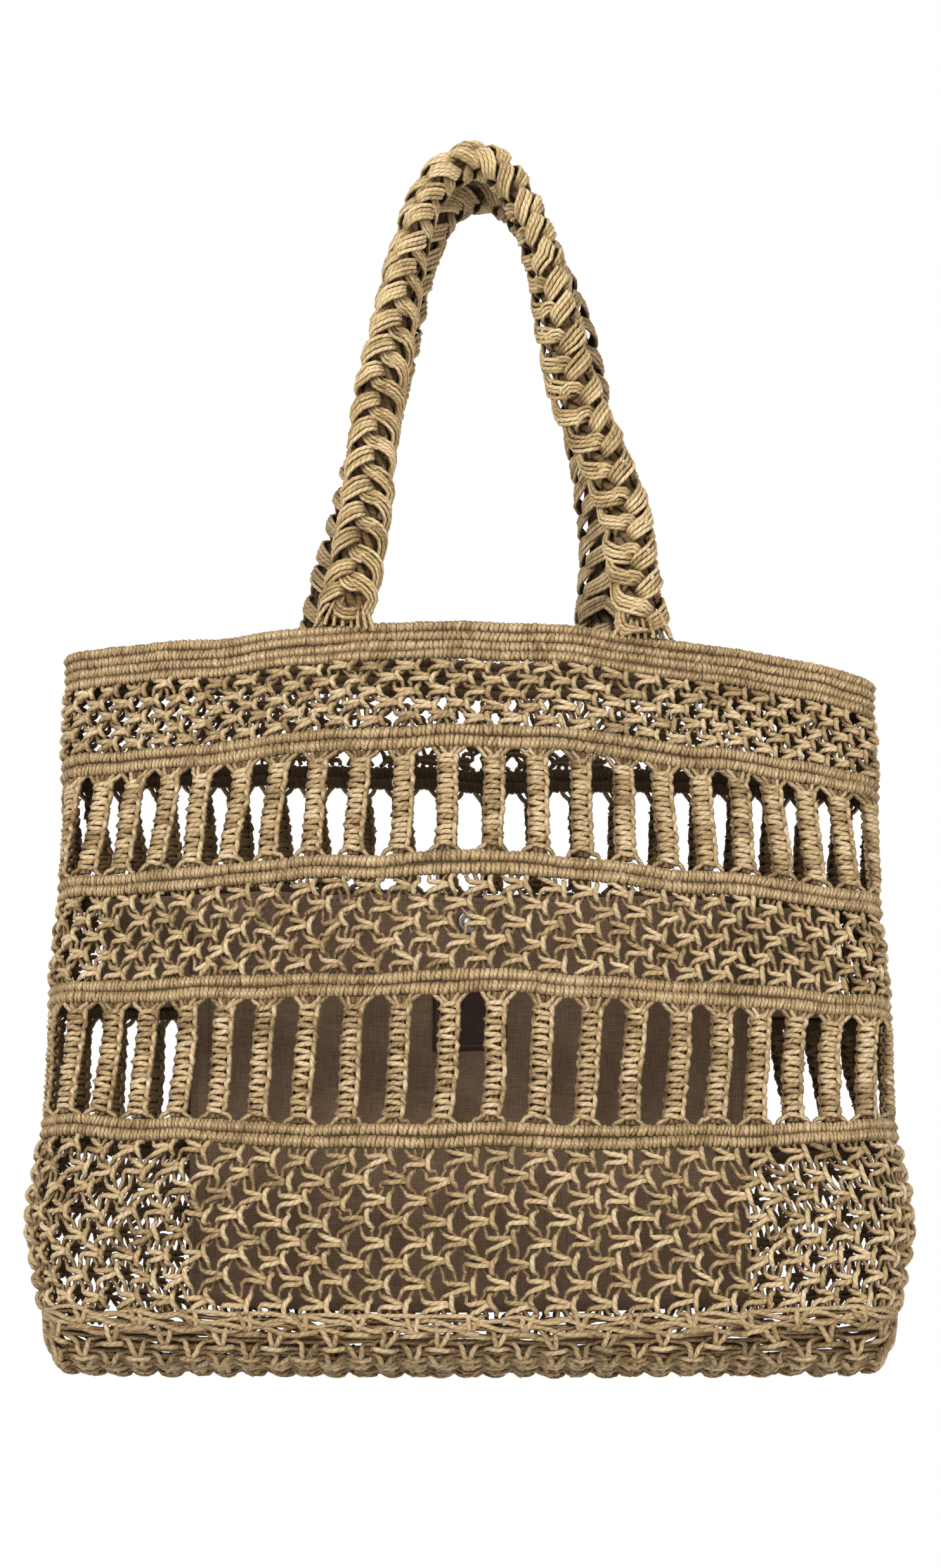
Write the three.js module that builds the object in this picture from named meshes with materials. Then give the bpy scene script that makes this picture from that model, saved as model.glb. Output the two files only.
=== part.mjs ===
// An openwork jute tote that hangs by its two handles.
// Millimetres, +Z up, the front faces -Y. The origin is the hook that both handle tops lie on.
// The body is a stack of belts: a ribbed rim, knotted nets, ribbed bands, two rows of upright
// cords with windows between them, and a base. A canvas pouch hangs inside on a canvas strip.

import * as THREE from 'three';

// Clearance between pieces that touch
const GAP = 0.3;

// Body, measured to the middle of its wall
const BODY_WIDTH = 484;
const BODY_DEPTH = 116;
const BODY_SAG = 25;
const BODY_TO_HOOK = 7;
const RIM_TO_HOOK = 273.5;

// Ribs, the heavy round cords of the rim and the bands
const RIM_RIB = 5.6;
const RIM_RIBS = 4;
const BAND_RIB = 6.9;
const BAND_RIBS = 2;
const RIB_VALLEY = 0.6;

// Openwork belts
const NET_UPPER_HEIGHT = 40;
const NET_MIDDLE_HEIGHT = 52.5;
const NET_LOWER_HEIGHT = 91;
const NET_WALL = 5;
const SENNITS_UPPER_HEIGHT = 59;
const SENNITS_LOWER_HEIGHT = 71.5;
const SENNITS = 44;
const SENNIT_WIDTH = 11.5;
const SENNIT_WALL = 5.5;
const SENNIT_LEAN = 9;
const FAN_WIDTH = 2.6;
const FAN_HEIGHT = 6;
const FAN_BAR = 1.6;

// Base
const BASE_HEIGHT = 23;
const BASE_CORNER = 24;
const BASE_WALL = 5;

// Handles, with the hook sloping up to the front
const STRAP_WIDTH = 30;
const STRAP_THICKNESS = 20;
const STITCH_LENGTH = 18;
const STITCH_RELIEF = 0.07;
const STRAP_SPACING = STRAP_WIDTH * (1 + STITCH_RELIEF) + GAP;
const HANDLE_REACH = 100;
const HOOK_RISE = 8;
// How far each leg's flat side is turned from lying along Y, in degrees
const LEG_TURN = 62;
const FOOT_TURN = 90;
const FOOT_HEIGHT = 70;

// Canvas pieces
const CANVAS = 1.2;
const STRIP_WIDTH = 416;
const POUCH_WIDTH = 317;
const POUCH_HEIGHT = 227;
const POUCH_GAPE = 15;
const POUCH_EDGE = 3.6;
const LABEL_WIDTH = 44;
const LABEL_HEIGHT = 40;
const LABEL_THICKNESS = 0.8;
const LABEL_DROP = 50;
const SNAP_DIAMETER = 14;
const SNAP_HEIGHT = 2.2;
const SNAP_DROP = 15;

// Facets
const RING_STEPS = 16;
const SNAP_FACETS = 20;

const RIM_HEIGHT = RIM_RIBS * RIM_RIB;
const BAND_HEIGHT = BAND_RIBS * BAND_RIB;

// The belts from the top down
const BELTS = [
  { node: 'rim', height: RIM_HEIGHT },
  { node: 'net_upper', height: NET_UPPER_HEIGHT },
  { node: 'band_1', height: BAND_HEIGHT },
  { node: 'sennits_upper', height: SENNITS_UPPER_HEIGHT },
  { node: 'band_2', height: BAND_HEIGHT },
  { node: 'net_middle', height: NET_MIDDLE_HEIGHT },
  { node: 'band_3', height: BAND_HEIGHT },
  { node: 'sennits_lower', height: SENNITS_LOWER_HEIGHT },
  { node: 'band_4', height: BAND_HEIGHT },
  { node: 'net_lower', height: NET_LOWER_HEIGHT },
];

// Plan sections of the body. Each row lies a share of the way down a belt. width, depth and end are
// shares of half the body's width, half its depth and half its depth again, side is the half depth
// where the rounded end starts, and left and right are how far the ends hang, as shares of the sag.
const SECTIONS = [
  { belt: 'rim', down: 0, width: 0.948, depth: 0.69, side: 0.21, end: 0.19, left: 0.4, right: 1 },
  { belt: 'rim', down: 1, width: 0.944, depth: 0.72, side: 0.22, end: 0.19, left: 0.4, right: 1 },
  { belt: 'band_1', down: 0.5, width: 0.947, depth: 0.9, side: 0.25, end: 0.21, left: 0.36, right: 0.8 },
  { belt: 'band_2', down: 0.5, width: 0.947, depth: 0.91, side: 0.3, end: 0.25, left: 0.24, right: 0.64 },
  { belt: 'band_3', down: 0.5, width: 0.963, depth: 0.89, side: 0.38, end: 0.32, left: 0, right: 0.36 },
  { belt: 'band_4', down: 0.5, width: 0.972, depth: 0.94, side: 0.5, end: 0.4, left: -0.48, right: -0.32 },
  { belt: 'net_lower', down: 0.45, width: 1, depth: 1, side: 0.72, end: 0.48, left: -0.42, right: -0.32 },
  { belt: 'net_lower', down: 1, width: 0.965, depth: 0.98, side: 0.8, end: 0.48, left: -0.34, right: -0.32 },
];

// How far the tops of the sennits lean forward along the loop at the body's left and right ends, as
// shares of the lean
const SENNIT_ROWS = [
  { node: 'sennits_upper', height: SENNITS_UPPER_HEIGHT, left: 1, right: -0.65 },
  { node: 'sennits_lower', height: SENNITS_LOWER_HEIGHT, left: 0.2, right: 0.9 },
];

// Centre lines of the handles, from the left foot to the right one. across is a share of the
// handle's reach from the middle of the body, and up a share of its rise from the rim.
const FRONT_HANDLE = [
  { across: -0.71, up: 0 },
  { across: -0.64, up: 0.12 },
  { across: -0.58, up: 0.29 },
  { across: -0.53, up: 0.46 },
  { across: -0.44, up: 0.63 },
  { across: -0.36, up: 0.79 },
  { across: -0.27, up: 0.9 },
  { across: -0.13, up: 0.975 },
  { across: 0.04, up: 1 },
  { across: 0.18, up: 0.975 },
  { across: 0.3, up: 0.91 },
  { across: 0.42, up: 0.8 },
  { across: 0.51, up: 0.66 },
  { across: 0.6, up: 0.51 },
  { across: 0.76, up: 0.37 },
  { across: 0.89, up: 0.25 },
  { across: 0.92, up: 0.15 },
  { across: 0.98, up: 0 },
];
const BACK_HANDLE = [
  { across: -0.88, up: 0 },
  { across: -0.83, up: 0.1 },
  { across: -0.72, up: 0.24 },
  { across: -0.63, up: 0.37 },
  { across: -0.53, up: 0.53 },
  { across: -0.42, up: 0.68 },
  { across: -0.32, up: 0.81 },
  { across: -0.24, up: 0.9 },
  { across: -0.12, up: 0.975 },
  { across: 0.05, up: 1 },
  { across: 0.22, up: 0.985 },
  { across: 0.35, up: 0.93 },
  { across: 0.48, up: 0.84 },
  { across: 0.59, up: 0.73 },
  { across: 0.66, up: 0.61 },
  { across: 0.71, up: 0.47 },
  { across: 0.77, up: 0.33 },
  { across: 0.79, up: 0.2 },
  { across: 0.75, up: 0 },
];

// How strongly the columns spread in the middle of the front and back
const SPREAD = 0.15;
// How sharply the body's sides draw in towards its ends
const DRAW_IN = 1.5;

const JUTE = { color: 0xa98d66, roughness: 0.95, metalness: 0 };
const JUTE_HANDLE = { color: 0xb59a6e, roughness: 0.95, metalness: 0 };
const CANVAS_BROWN = { color: 0x54412f, roughness: 0.9, metalness: 0 };
const LABEL_BROWN = { color: 0x2b1e19, roughness: 0.8, metalness: 0 };
const SNAP_METAL = { color: 0x8d8a84, roughness: 0.35, metalness: 1 };

// A closed body collected from points and faces
class Body {
  constructor() {
    this.points = [];
    this.faces = [];
  }

  row(points) {
    return points.map((point) => this.points.push(point) - 1);
  }

  face(a, b, c) {
    this.faces.push([a, b, c]);
  }

  quad(a, b, c, d) {
    this.face(a, b, c);
    this.face(a, c, d);
  }

  // Faces between two closed rows of equal length
  strip(upper, lower) {
    upper.forEach((start, i) => {
      const next = (i + 1) % upper.length;
      this.quad(start, upper[next], lower[next], lower[i]);
    });
  }

  // Faces across a closed row, laced from one end to the other
  cap(row) {
    let near = 0;
    let far = row.length - 1;
    while (far - near > 1) {
      this.face(row[near], row[near + 1], row[far]);
      near += 1;
      if (far - near > 1) this.face(row[near], row[far - 1], row[far]);
      far -= 1;
    }
  }

  geometry() {
    const triple = new THREE.Vector3();
    let volume = 0;
    for (const [a, b, c] of this.faces) {
      triple.crossVectors(this.points[b], this.points[c]);
      volume += this.points[a].dot(triple);
    }
    const faces = volume < 0 ? this.faces.map(([a, b, c]) => [a, c, b]) : this.faces;
    const geometry = new THREE.BufferGeometry().setFromPoints(this.points);
    geometry.setIndex(faces.flat());
    geometry.computeVertexNormals();
    return geometry;
  }
}

// Depth in millimetres below the rim's top at a share of the way down a belt
function depthOf(belt, down) {
  let depth = 0;
  for (const { node, height } of BELTS) {
    if (node === belt) return depth + down * height;
    depth += height;
  }
  return depth;
}

const ROWS = SECTIONS.map((row) => ({ ...row, at: depthOf(row.belt, row.down) }));

// A smooth value of one column of the section table at a depth
function smoothColumn(column, depth) {
  const last = ROWS.length - 1;
  const found = ROWS.findIndex((row) => row.at > depth);
  const after = found < 0 ? last : Math.max(found, 1);
  const [a, b] = [ROWS[after - 1], ROWS[after]];
  const before = ROWS[Math.max(after - 2, 0)];
  const beyond = ROWS[Math.min(after + 1, last)];
  const span = b.at - a.at;
  const t = THREE.MathUtils.clamp((depth - a.at) / span, 0, 1);
  const startSlope = ((b[column] - before[column]) / (b.at - before.at)) * span;
  const endSlope = ((beyond[column] - a[column]) / (beyond.at - a.at)) * span;
  const t2 = t * t;
  const t3 = t2 * t;
  return (2 * t3 - 3 * t2 + 1) * a[column] + (t3 - 2 * t2 + t) * startSlope
    + (3 * t2 - 2 * t3) * b[column] + (t3 - t2) * endSlope;
}

// A point of the front half of a section, from the left end at 0 to the right end at 1
function frontCurve(section, t) {
  const cap = 0.12;
  const mirrored = t > 0.5;
  const from = mirrored ? 1 - t : t;
  let x = 0;
  let y = 0;
  if (from < cap) {
    const angle = (from / cap) * (Math.PI / 2);
    x = -section.width + section.end * (1 - Math.cos(angle));
    y = -section.side * Math.sin(angle);
  } else {
    const straight = section.width - section.end;
    x = -straight * (1 - (from - cap) / (0.5 - cap));
    const arch = Math.cos((Math.PI / 2) * (x / straight)) ** DRAW_IN;
    y = -section.side - (section.depth - section.side) * arch;
  }
  return new THREE.Vector2(mirrored ? -x : x, y);
}

const SAMPLES = 240;
const sectionCache = new Map();

// The section at a depth, with a table of its running length along the front
function sectionAt(depth) {
  const key = depth.toFixed(3);
  if (sectionCache.has(key)) return sectionCache.get(key);
  const half = BODY_DEPTH / 2;
  const section = {
    width: smoothColumn('width', depth) * (BODY_WIDTH / 2),
    depth: smoothColumn('depth', depth) * half,
    side: smoothColumn('side', depth) * half,
    end: smoothColumn('end', depth) * half,
    left: smoothColumn('left', depth) * BODY_SAG,
    right: smoothColumn('right', depth) * BODY_SAG,
    lengths: [0],
  };
  for (let i = 1; i <= SAMPLES; i += 1) {
    const step = frontCurve(section, i / SAMPLES).distanceTo(frontCurve(section, (i - 1) / SAMPLES));
    section.lengths.push(section.lengths[i - 1] + step);
  }
  sectionCache.set(key, section);
  return section;
}

// The curve's own parameter at a share of the front's length
function parameterAt(section, share) {
  const { lengths } = section;
  const target = THREE.MathUtils.clamp(share, 0, 1) * lengths[SAMPLES];
  const after = Math.max(lengths.findIndex((length) => length >= target), 1);
  const before = lengths[after - 1];
  return (after - 1 + (target - before) / (lengths[after] - before)) / SAMPLES;
}

// A point of the body's wall. turn runs once round the loop from the left end, along the front
// first, depth is measured down from the rim's top, and out is an offset from the wall's middle.
function wallPoint(turn, depth, out) {
  const section = sectionAt(depth);
  const loop = turn - Math.floor(turn);
  const back = loop > 0.5;
  const along = back ? 2 - 2 * loop : 2 * loop;
  const spread = along - (SPREAD / (2 * Math.PI)) * Math.sin(2 * Math.PI * along);
  const t = parameterAt(section, spread);
  const reach = 0.002;
  const ahead = frontCurve(section, Math.min(t + reach, 1));
  const behind = frontCurve(section, Math.max(t - reach, 0));
  const tangent = ahead.sub(behind).normalize();
  if (along < reach || along > 1 - reach) tangent.set(0, along < 0.5 ? -1 : 1);
  const point = frontCurve(section, t).add(new THREE.Vector2(tangent.y, -tangent.x).multiplyScalar(out));
  const z = -RIM_TO_HOOK - depth - hang(section, point.x);
  return new THREE.Vector3(point.x - BODY_TO_HOOK, back ? -point.y : point.y, z);
}

// How far a section hangs below its middle at x
function hang(section, x) {
  const share = x / section.width;
  return (x < 0 ? section.left : section.right) * share * share;
}

// The turn at which the front wall is x from the body's middle
function frontTurn(x, depth) {
  let low = 0;
  let high = 0.5;
  for (let i = 0; i < 30; i += 1) {
    const middle = (low + high) / 2;
    if (wallPoint(middle, depth, 0).x + BODY_TO_HOOK < x) low = middle;
    else high = middle;
  }
  return (low + high) / 2;
}

// A length along the wall as a share of the loop
function turnOf(length, turn, depth) {
  const loop = 2 * sectionAt(depth).lengths[SAMPLES];
  return length / (loop * (1 - SPREAD * Math.cos(4 * Math.PI * turn)));
}

// Turns of a ring's columns, close together at the body's ends
function ringTurns() {
  const turns = [];
  for (let i = 0; i < 2 * RING_STEPS; i += 1) {
    const side = i < RING_STEPS ? 0 : 0.5;
    turns.push(side + (1 - Math.cos((Math.PI * (i % RING_STEPS)) / RING_STEPS)) / 4);
  }
  return turns;
}

// A ring swept round the body from a closed profile of depths and offsets
function ring(profile) {
  const body = new Body();
  const rows = profile.map(({ depth, out }) => body.row(ringTurns().map((turn) => wallPoint(turn, depth, out))));
  rows.forEach((row, i) => body.strip(row, rows[(i + 1) % rows.length]));
  return body.geometry();
}

// A ring of round ribs, with valleys between them on the outside
function ribbedRing(belt, ribs, rib) {
  const top = depthOf(belt, 0) + GAP / 2;
  const height = ribs * rib - GAP;
  const outer = [];
  const inner = [];
  for (let i = 0; i <= 2 * ribs; i += 1) {
    const peak = i % 2 === 1;
    const depth = top + (height * i) / (2 * ribs);
    outer.push({ depth, out: (rib / 2) * (peak ? 1 : RIB_VALLEY) });
    if (peak) inner.unshift({ depth, out: -rib / 2 });
  }
  return ring([...outer, ...inner]);
}

// A plain ring of net
function netRing(belt, height, steps) {
  const top = depthOf(belt, 0) + GAP / 2;
  const outer = [];
  for (let i = 0; i <= steps; i += 1) {
    outer.push({ depth: top + ((height - GAP) * i) / steps, out: NET_WALL / 2 });
  }
  const inner = outer.map(({ depth, out }) => ({ depth, out: -out })).reverse();
  return ring([...outer, ...inner]);
}

// A slab between two surfaces, from points in a plane pattern and the faces between them
function slab(pattern, faces, place) {
  const body = new Body();
  const outer = body.row(pattern.map((point) => place(point, 1)));
  const inner = body.row(pattern.map((point) => place(point, -1)));
  const edges = new Map();
  for (const [a, b, c] of faces) {
    body.face(outer[a], outer[b], outer[c]);
    body.face(inner[a], inner[c], inner[b]);
    for (const [from, to] of [[a, b], [b, c], [c, a]]) edges.set(`${from} ${to}`, [from, to]);
  }
  for (const [from, to] of edges.values()) {
    if (!edges.has(`${to} ${from}`)) body.quad(outer[to], outer[from], inner[from], inner[to]);
  }
  return body.geometry();
}

// A rectangular pattern of points with u and v from 0 to 1, and its faces
function grid(columns, rows) {
  const pattern = [];
  const faces = [];
  for (let j = 0; j <= rows; j += 1) {
    for (let i = 0; i <= columns; i += 1) {
      pattern.push({ u: i / columns, v: j / rows });
      if (i === columns || j === rows) continue;
      const corner = j * (columns + 1) + i;
      faces.push([corner, corner + 1, corner + columns + 2]);
      faces.push([corner, corner + columns + 2, corner + columns + 1]);
    }
  }
  return { pattern, faces };
}

// A row of upright sennits that fan out into the bands, with a window between each two
function sennitRing({ node, height, left: leanLeft, right: leanRight }) {
  const pattern = [];
  const faces = [];
  const middle = depthOf(node, 0.5);
  const top = depthOf(node, 0) + GAP / 2;
  const bottom = depthOf(node, 1) - GAP / 2;
  const perSennit = 12;
  for (let i = 0; i < SENNITS; i += 1) {
    const centre = (i + 0.5) / SENNITS;
    const next = (i + 1.5) / SENNITS;
    const left = centre - turnOf(SENNIT_WIDTH / 2, centre, middle);
    const right = centre + turnOf(SENNIT_WIDTH / 2, centre, middle);
    const nextLeft = next - turnOf(SENNIT_WIDTH / 2, next, middle);
    const fan = turnOf(FAN_WIDTH, (centre + next) / 2, middle);
    const depths = [top, top + FAN_HEIGHT, bottom - FAN_HEIGHT, bottom];
    for (const depth of depths) pattern.push({ turn: left, depth }, { turn: right, depth });
    for (const depth of [top + FAN_BAR, bottom - FAN_BAR]) {
      pattern.push({ turn: right + fan, depth }, { turn: nextLeft - fan, depth });
    }
    faces.push(...sennitFaces(i * perSennit, ((i + 1) % SENNITS) * perSennit));
  }
  const place = ({ turn, depth }, side) => {
    const lean = THREE.MathUtils.lerp(leanRight, leanLeft, (1 + Math.cos(2 * Math.PI * turn)) / 2);
    const leant = turn + turnOf(lean * SENNIT_LEAN, turn, middle) * ((middle - depth) / height);
    return wallPoint(leant, depth, (side * SENNIT_WALL) / 2);
  };
  return slab(pattern, faces, place);
}

// Faces of one sennit and of the bars to the next one. A sennit's points are pairs from the top
// down, then the two inner corners of the window above and the two below.
function sennitFaces(own, next) {
  const faces = [];
  for (const upper of [own, own + 2, own + 4]) {
    faces.push([upper, upper + 1, upper + 3], [upper, upper + 3, upper + 2]);
  }
  const [topRight, fanRight, lowRight, bottomRight] = [own + 1, own + 3, own + 5, own + 7];
  const [topLeft, fanLeft, lowLeft, bottomLeft] = [next, next + 2, next + 4, next + 6];
  const [headLeft, headRight, footLeft, footRight] = [own + 8, own + 9, own + 10, own + 11];
  faces.push([topRight, headLeft, fanRight], [topRight, headRight, headLeft]);
  faces.push([topRight, topLeft, headRight], [topLeft, fanLeft, headRight]);
  faces.push([bottomRight, lowRight, footLeft], [bottomRight, footLeft, footRight]);
  faces.push([bottomRight, footRight, bottomLeft], [bottomLeft, footRight, lowLeft]);
  return faces;
}

// The base: a shallow tray that rounds under from the net's lower edge to a level bottom
function baseTray() {
  const edge = depthOf('net_lower', 1);
  const level = -RIM_TO_HOOK - edge;
  const section = sectionAt(edge);
  const body = new Body();
  const trayRow = (inset, drop, share) => body.row(ringTurns().map((turn) => {
    const point = wallPoint(turn, edge, 0);
    const x = (point.x + BODY_TO_HOOK) * (1 - inset / section.width) - BODY_TO_HOOK;
    const y = point.y * (1 - inset / section.depth);
    return new THREE.Vector3(x, y, THREE.MathUtils.lerp(point.z, level, share) - drop);
  }));
  const corner = (steps, wall) => {
    const rows = [];
    for (let step = 0; step <= steps; step += 1) {
      const angle = (step / steps) * (Math.PI / 2);
      const inset = BASE_CORNER - BASE_WALL / 2 - (BASE_CORNER - wall) * Math.cos(angle);
      const drop = GAP / 2 + (BASE_HEIGHT - wall) * Math.sin(angle);
      rows.push(trayRow(inset, drop, Math.sin(angle)));
    }
    return rows;
  };
  const outer = corner(3, 0);
  const inner = corner(2, BASE_WALL).reverse();
  outer.slice(1).forEach((row, i) => body.strip(outer[i], row));
  body.cap(outer[outer.length - 1]);
  body.cap([...inner[0]].reverse());
  inner.slice(1).forEach((row, i) => body.strip(inner[i], row));
  body.strip(inner[inner.length - 1], outer[0]);
  return body.geometry();
}

// A handle: a flat chain of loops that rises from the rim, turns flat and lies over the hook
function handle(table, front) {
  const top = sectionAt(0);
  const side = front ? -1 : 1;
  const feet = [table[0], table[table.length - 1]].map(({ across }) => {
    const x = across * HANDLE_REACH;
    const wall = wallPoint(frontTurn(x, 0), 0, 0);
    return new THREE.Vector3(x, side * Math.abs(wall.y), wall.z + GAP);
  });
  const apex = new THREE.Vector3(0, side * (STRAP_SPACING / 2), (STRAP_THICKNESS - side * HOOK_RISE) / 2);
  const peak = table.findIndex(({ up }) => up === 1);
  const points = table.map(({ across, up }, i) => {
    const foot = feet[i < peak ? 0 : 1];
    const y = THREE.MathUtils.lerp(foot.y, apex.y, up);
    const z = THREE.MathUtils.lerp(foot.z, apex.z, up);
    return new THREE.Vector3(across * HANDLE_REACH - BODY_TO_HOOK, y, z);
  });
  const curve = new THREE.CatmullRomCurve3(points, false, 'centripetal');
  const stitches = Math.round(curve.getLength() / STITCH_LENGTH);
  const body = new Body();
  const rows = [];
  for (let i = 0; i <= 2 * stitches; i += 1) {
    const share = i / (2 * stitches);
    const relief = 1 + (i % 2 ? STITCH_RELIEF : -STITCH_RELIEF);
    const centre = curve.getPointAt(share);
    const legs = 1 - THREE.MathUtils.smoothstep(centre.z, -RIM_TO_HOOK / 2, 0);
    const foot = 1 - THREE.MathUtils.smoothstep(centre.z + RIM_TO_HOOK, 0, FOOT_HEIGHT);
    const turned = LEG_TURN * legs + (FOOT_TURN - LEG_TURN) * foot;
    const angle = THREE.MathUtils.degToRad(90 - side * Math.sign(share - 0.5) * turned);
    rows.push(strapRow(centre, curve.getTangentAt(share), angle, relief));
  }
  const seat = (point) => {
    point.z = -RIM_TO_HOOK - hang(top, point.x + BODY_TO_HOOK) + GAP;
  };
  rows[0].forEach(seat);
  rows[rows.length - 1].forEach(seat);
  const indices = rows.map((row) => body.row(row));
  body.cap([...indices[0]].reverse());
  indices.slice(1).forEach((row, i) => body.strip(indices[i], row));
  body.cap(indices[indices.length - 1]);
  return body.geometry();
}

// The oval section of a strap at one place, its width at an angle to X
function strapRow(centre, tangent, angle, relief) {
  const across = new THREE.Vector3(Math.cos(angle), Math.sin(angle), 0);
  across.addScaledVector(tangent, -across.dot(tangent)).normalize();
  const through = new THREE.Vector3().crossVectors(tangent, across);
  const row = [];
  const corners = 8;
  for (let i = 0; i < corners; i += 1) {
    const turn = ((i + 0.5) / corners) * 2 * Math.PI;
    const fill = 0.5 / Math.cos(Math.PI / corners);
    const point = centre.clone();
    point.addScaledVector(across, Math.cos(turn) * fill * STRAP_WIDTH * relief);
    point.addScaledVector(through, Math.sin(turn) * fill * STRAP_THICKNESS * relief);
    row.push(point);
  }
  return row;
}

const STRIP_TOP = depthOf('band_2', 0.5);
const STRIP_BOTTOM = depthOf('band_3', 0.5);
const STRIP_OUT = -BAND_RIB / 2 - GAP;
const POUCH_OUT = STRIP_OUT - CANVAS - 2 * GAP;

// The turn at which the back wall is x from the body's middle
function backTurn(x, depth) {
  return 1 - frontTurn(x, depth);
}

// The turns of the ring columns on either side of a turn, and its share of the way between them
function facetOf(turn) {
  const turns = [...ringTurns(), 1];
  const after = Math.max(turns.findIndex((column) => column >= turn), 1);
  const [from, to] = [turns[after - 1], turns[after]];
  return { from, to, share: (turn - from) / (to - from) };
}

// Turns across the back from one edge of a piece to the other. Between the edges they are the
// ring columns that lie well inside the piece at its top.
function backColumns(width, depth) {
  const inside = 0.47 * width;
  const between = ringTurns().filter((turn) => {
    return turn > 0.5 && Math.abs(wallPoint(turn, STRIP_TOP, 0).x + BODY_TO_HOOK) < inside;
  });
  return [backTurn(-width / 2, depth), ...between.reverse(), backTurn(width / 2, depth)];
}

// A point on the flat facets of the back wall, with an offset that may vary from column to column
function facetPoint(turn, depth, outAt) {
  const { from, to, share } = facetOf(turn);
  return wallPoint(from, depth, outAt(from)).lerp(wallPoint(to, depth, outAt(to)), share);
}

// A canvas strip along the inside of the back, from one band to the next
function canvasStrip() {
  const columns = backColumns(STRIP_WIDTH, STRIP_TOP).length - 1;
  const { pattern, faces } = grid(columns, 2);
  const place = ({ u, v }, side) => {
    const depth = THREE.MathUtils.lerp(STRIP_TOP, STRIP_BOTTOM, v);
    const turn = backColumns(STRIP_WIDTH, depth)[Math.round(u * columns)];
    return facetPoint(turn, depth, () => STRIP_OUT - (side > 0 ? 0 : CANVAS));
  };
  return slab(pattern, faces, place);
}

// The distance between the pouch's two leaves at a turn of the back wall
function pouchGape(turn, depth) {
  const x = wallPoint(turn, depth, 0).x + BODY_TO_HOOK;
  const across = Math.max(1 - ((2 * x) / POUCH_WIDTH) ** 4, 0);
  const down = Math.max(1 - ((depth - STRIP_TOP) / POUCH_HEIGHT) ** 3, 0);
  return POUCH_EDGE + (POUCH_GAPE - POUCH_EDGE) * across * down;
}

// A point of the pouch's front leaf, lifted off its outer face
function leafPoint(turn, depth, lift) {
  return facetPoint(turn, depth, (column) => POUCH_OUT - pouchGape(column, depth) - lift);
}

// One closed row round the pouch, front leaf first, set in from its outer faces
function pouchRow(depth, inset) {
  const columns = backColumns(POUCH_WIDTH, depth);
  columns[0] = backTurn(inset - POUCH_WIDTH / 2, depth);
  columns[columns.length - 1] = backTurn(POUCH_WIDTH / 2 - inset, depth);
  const front = columns.map((turn) => leafPoint(turn, depth, -inset));
  const back = columns.map((turn) => facetPoint(turn, depth, () => POUCH_OUT - inset));
  return [...front, ...back.reverse()];
}

// The open canvas pouch
function pouch() {
  const body = new Body();
  const bottom = STRIP_TOP + POUCH_HEIGHT;
  const rowsOf = (end, inset) => {
    const depths = [STRIP_TOP, (STRIP_TOP + STRIP_BOTTOM) / 2, STRIP_BOTTOM];
    depths.push((STRIP_BOTTOM + bottom) / 2, end);
    return depths.map((depth) => body.row(pouchRow(depth, inset)));
  };
  const outer = rowsOf(bottom, 0);
  const inner = rowsOf(bottom - CANVAS, CANVAS).reverse();
  outer.slice(1).forEach((row, i) => body.strip(outer[i], row));
  body.cap(outer[outer.length - 1]);
  body.cap([...inner[0]].reverse());
  inner.slice(1).forEach((row, i) => body.strip(inner[i], row));
  body.strip(inner[inner.length - 1], outer[0]);
  return body.geometry();
}

// A bare patch on the pouch's front leaf
function label() {
  const { pattern, faces } = grid(2, 4);
  const place = ({ u, v }, side) => {
    const depth = STRIP_TOP + LABEL_DROP + v * LABEL_HEIGHT;
    const turn = backTurn((u - 0.5) * LABEL_WIDTH, depth);
    return leafPoint(turn, depth, side > 0 ? GAP : GAP + LABEL_THICKNESS);
  };
  return slab(pattern, faces, place);
}

// A round snap with a raised rim
function snap() {
  const radius = SNAP_DIAMETER / 2;
  const profile = [
    new THREE.Vector2(0, 0),
    new THREE.Vector2(radius, 0),
    new THREE.Vector2(radius, SNAP_HEIGHT * 0.6),
    new THREE.Vector2(radius * 0.8, SNAP_HEIGHT),
    new THREE.Vector2(radius * 0.5, SNAP_HEIGHT * 0.6),
    new THREE.Vector2(0, SNAP_HEIGHT * 0.6),
  ];
  return new THREE.LatheGeometry(profile, SNAP_FACETS);
}

// Lays the snap's mesh flat on the leaf near the pouch's mouth, a gap clear of it
function placeSnap(mesh) {
  const reach = SNAP_DIAMETER / 2;
  const depth = STRIP_TOP + SNAP_DROP;
  const onLeaf = (x, drop) => leafPoint(backTurn(x, drop), drop, GAP);
  const seat = onLeaf(-reach, depth).lerp(onLeaf(reach, depth), 0.5);
  const leaf = onLeaf(0, depth - reach).sub(onLeaf(0, depth + reach));
  const outward = new THREE.Vector3(0, -leaf.z, leaf.y).normalize();
  mesh.quaternion.setFromUnitVectors(new THREE.Vector3(0, 1, 0), outward);
  mesh.position.copy(seat);
}

const bag = new THREE.Group();

function add(name, geometry, look) {
  const mesh = new THREE.Mesh(geometry, new THREE.MeshStandardMaterial(look));
  mesh.name = name;
  bag.add(mesh);
  return mesh;
}

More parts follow.
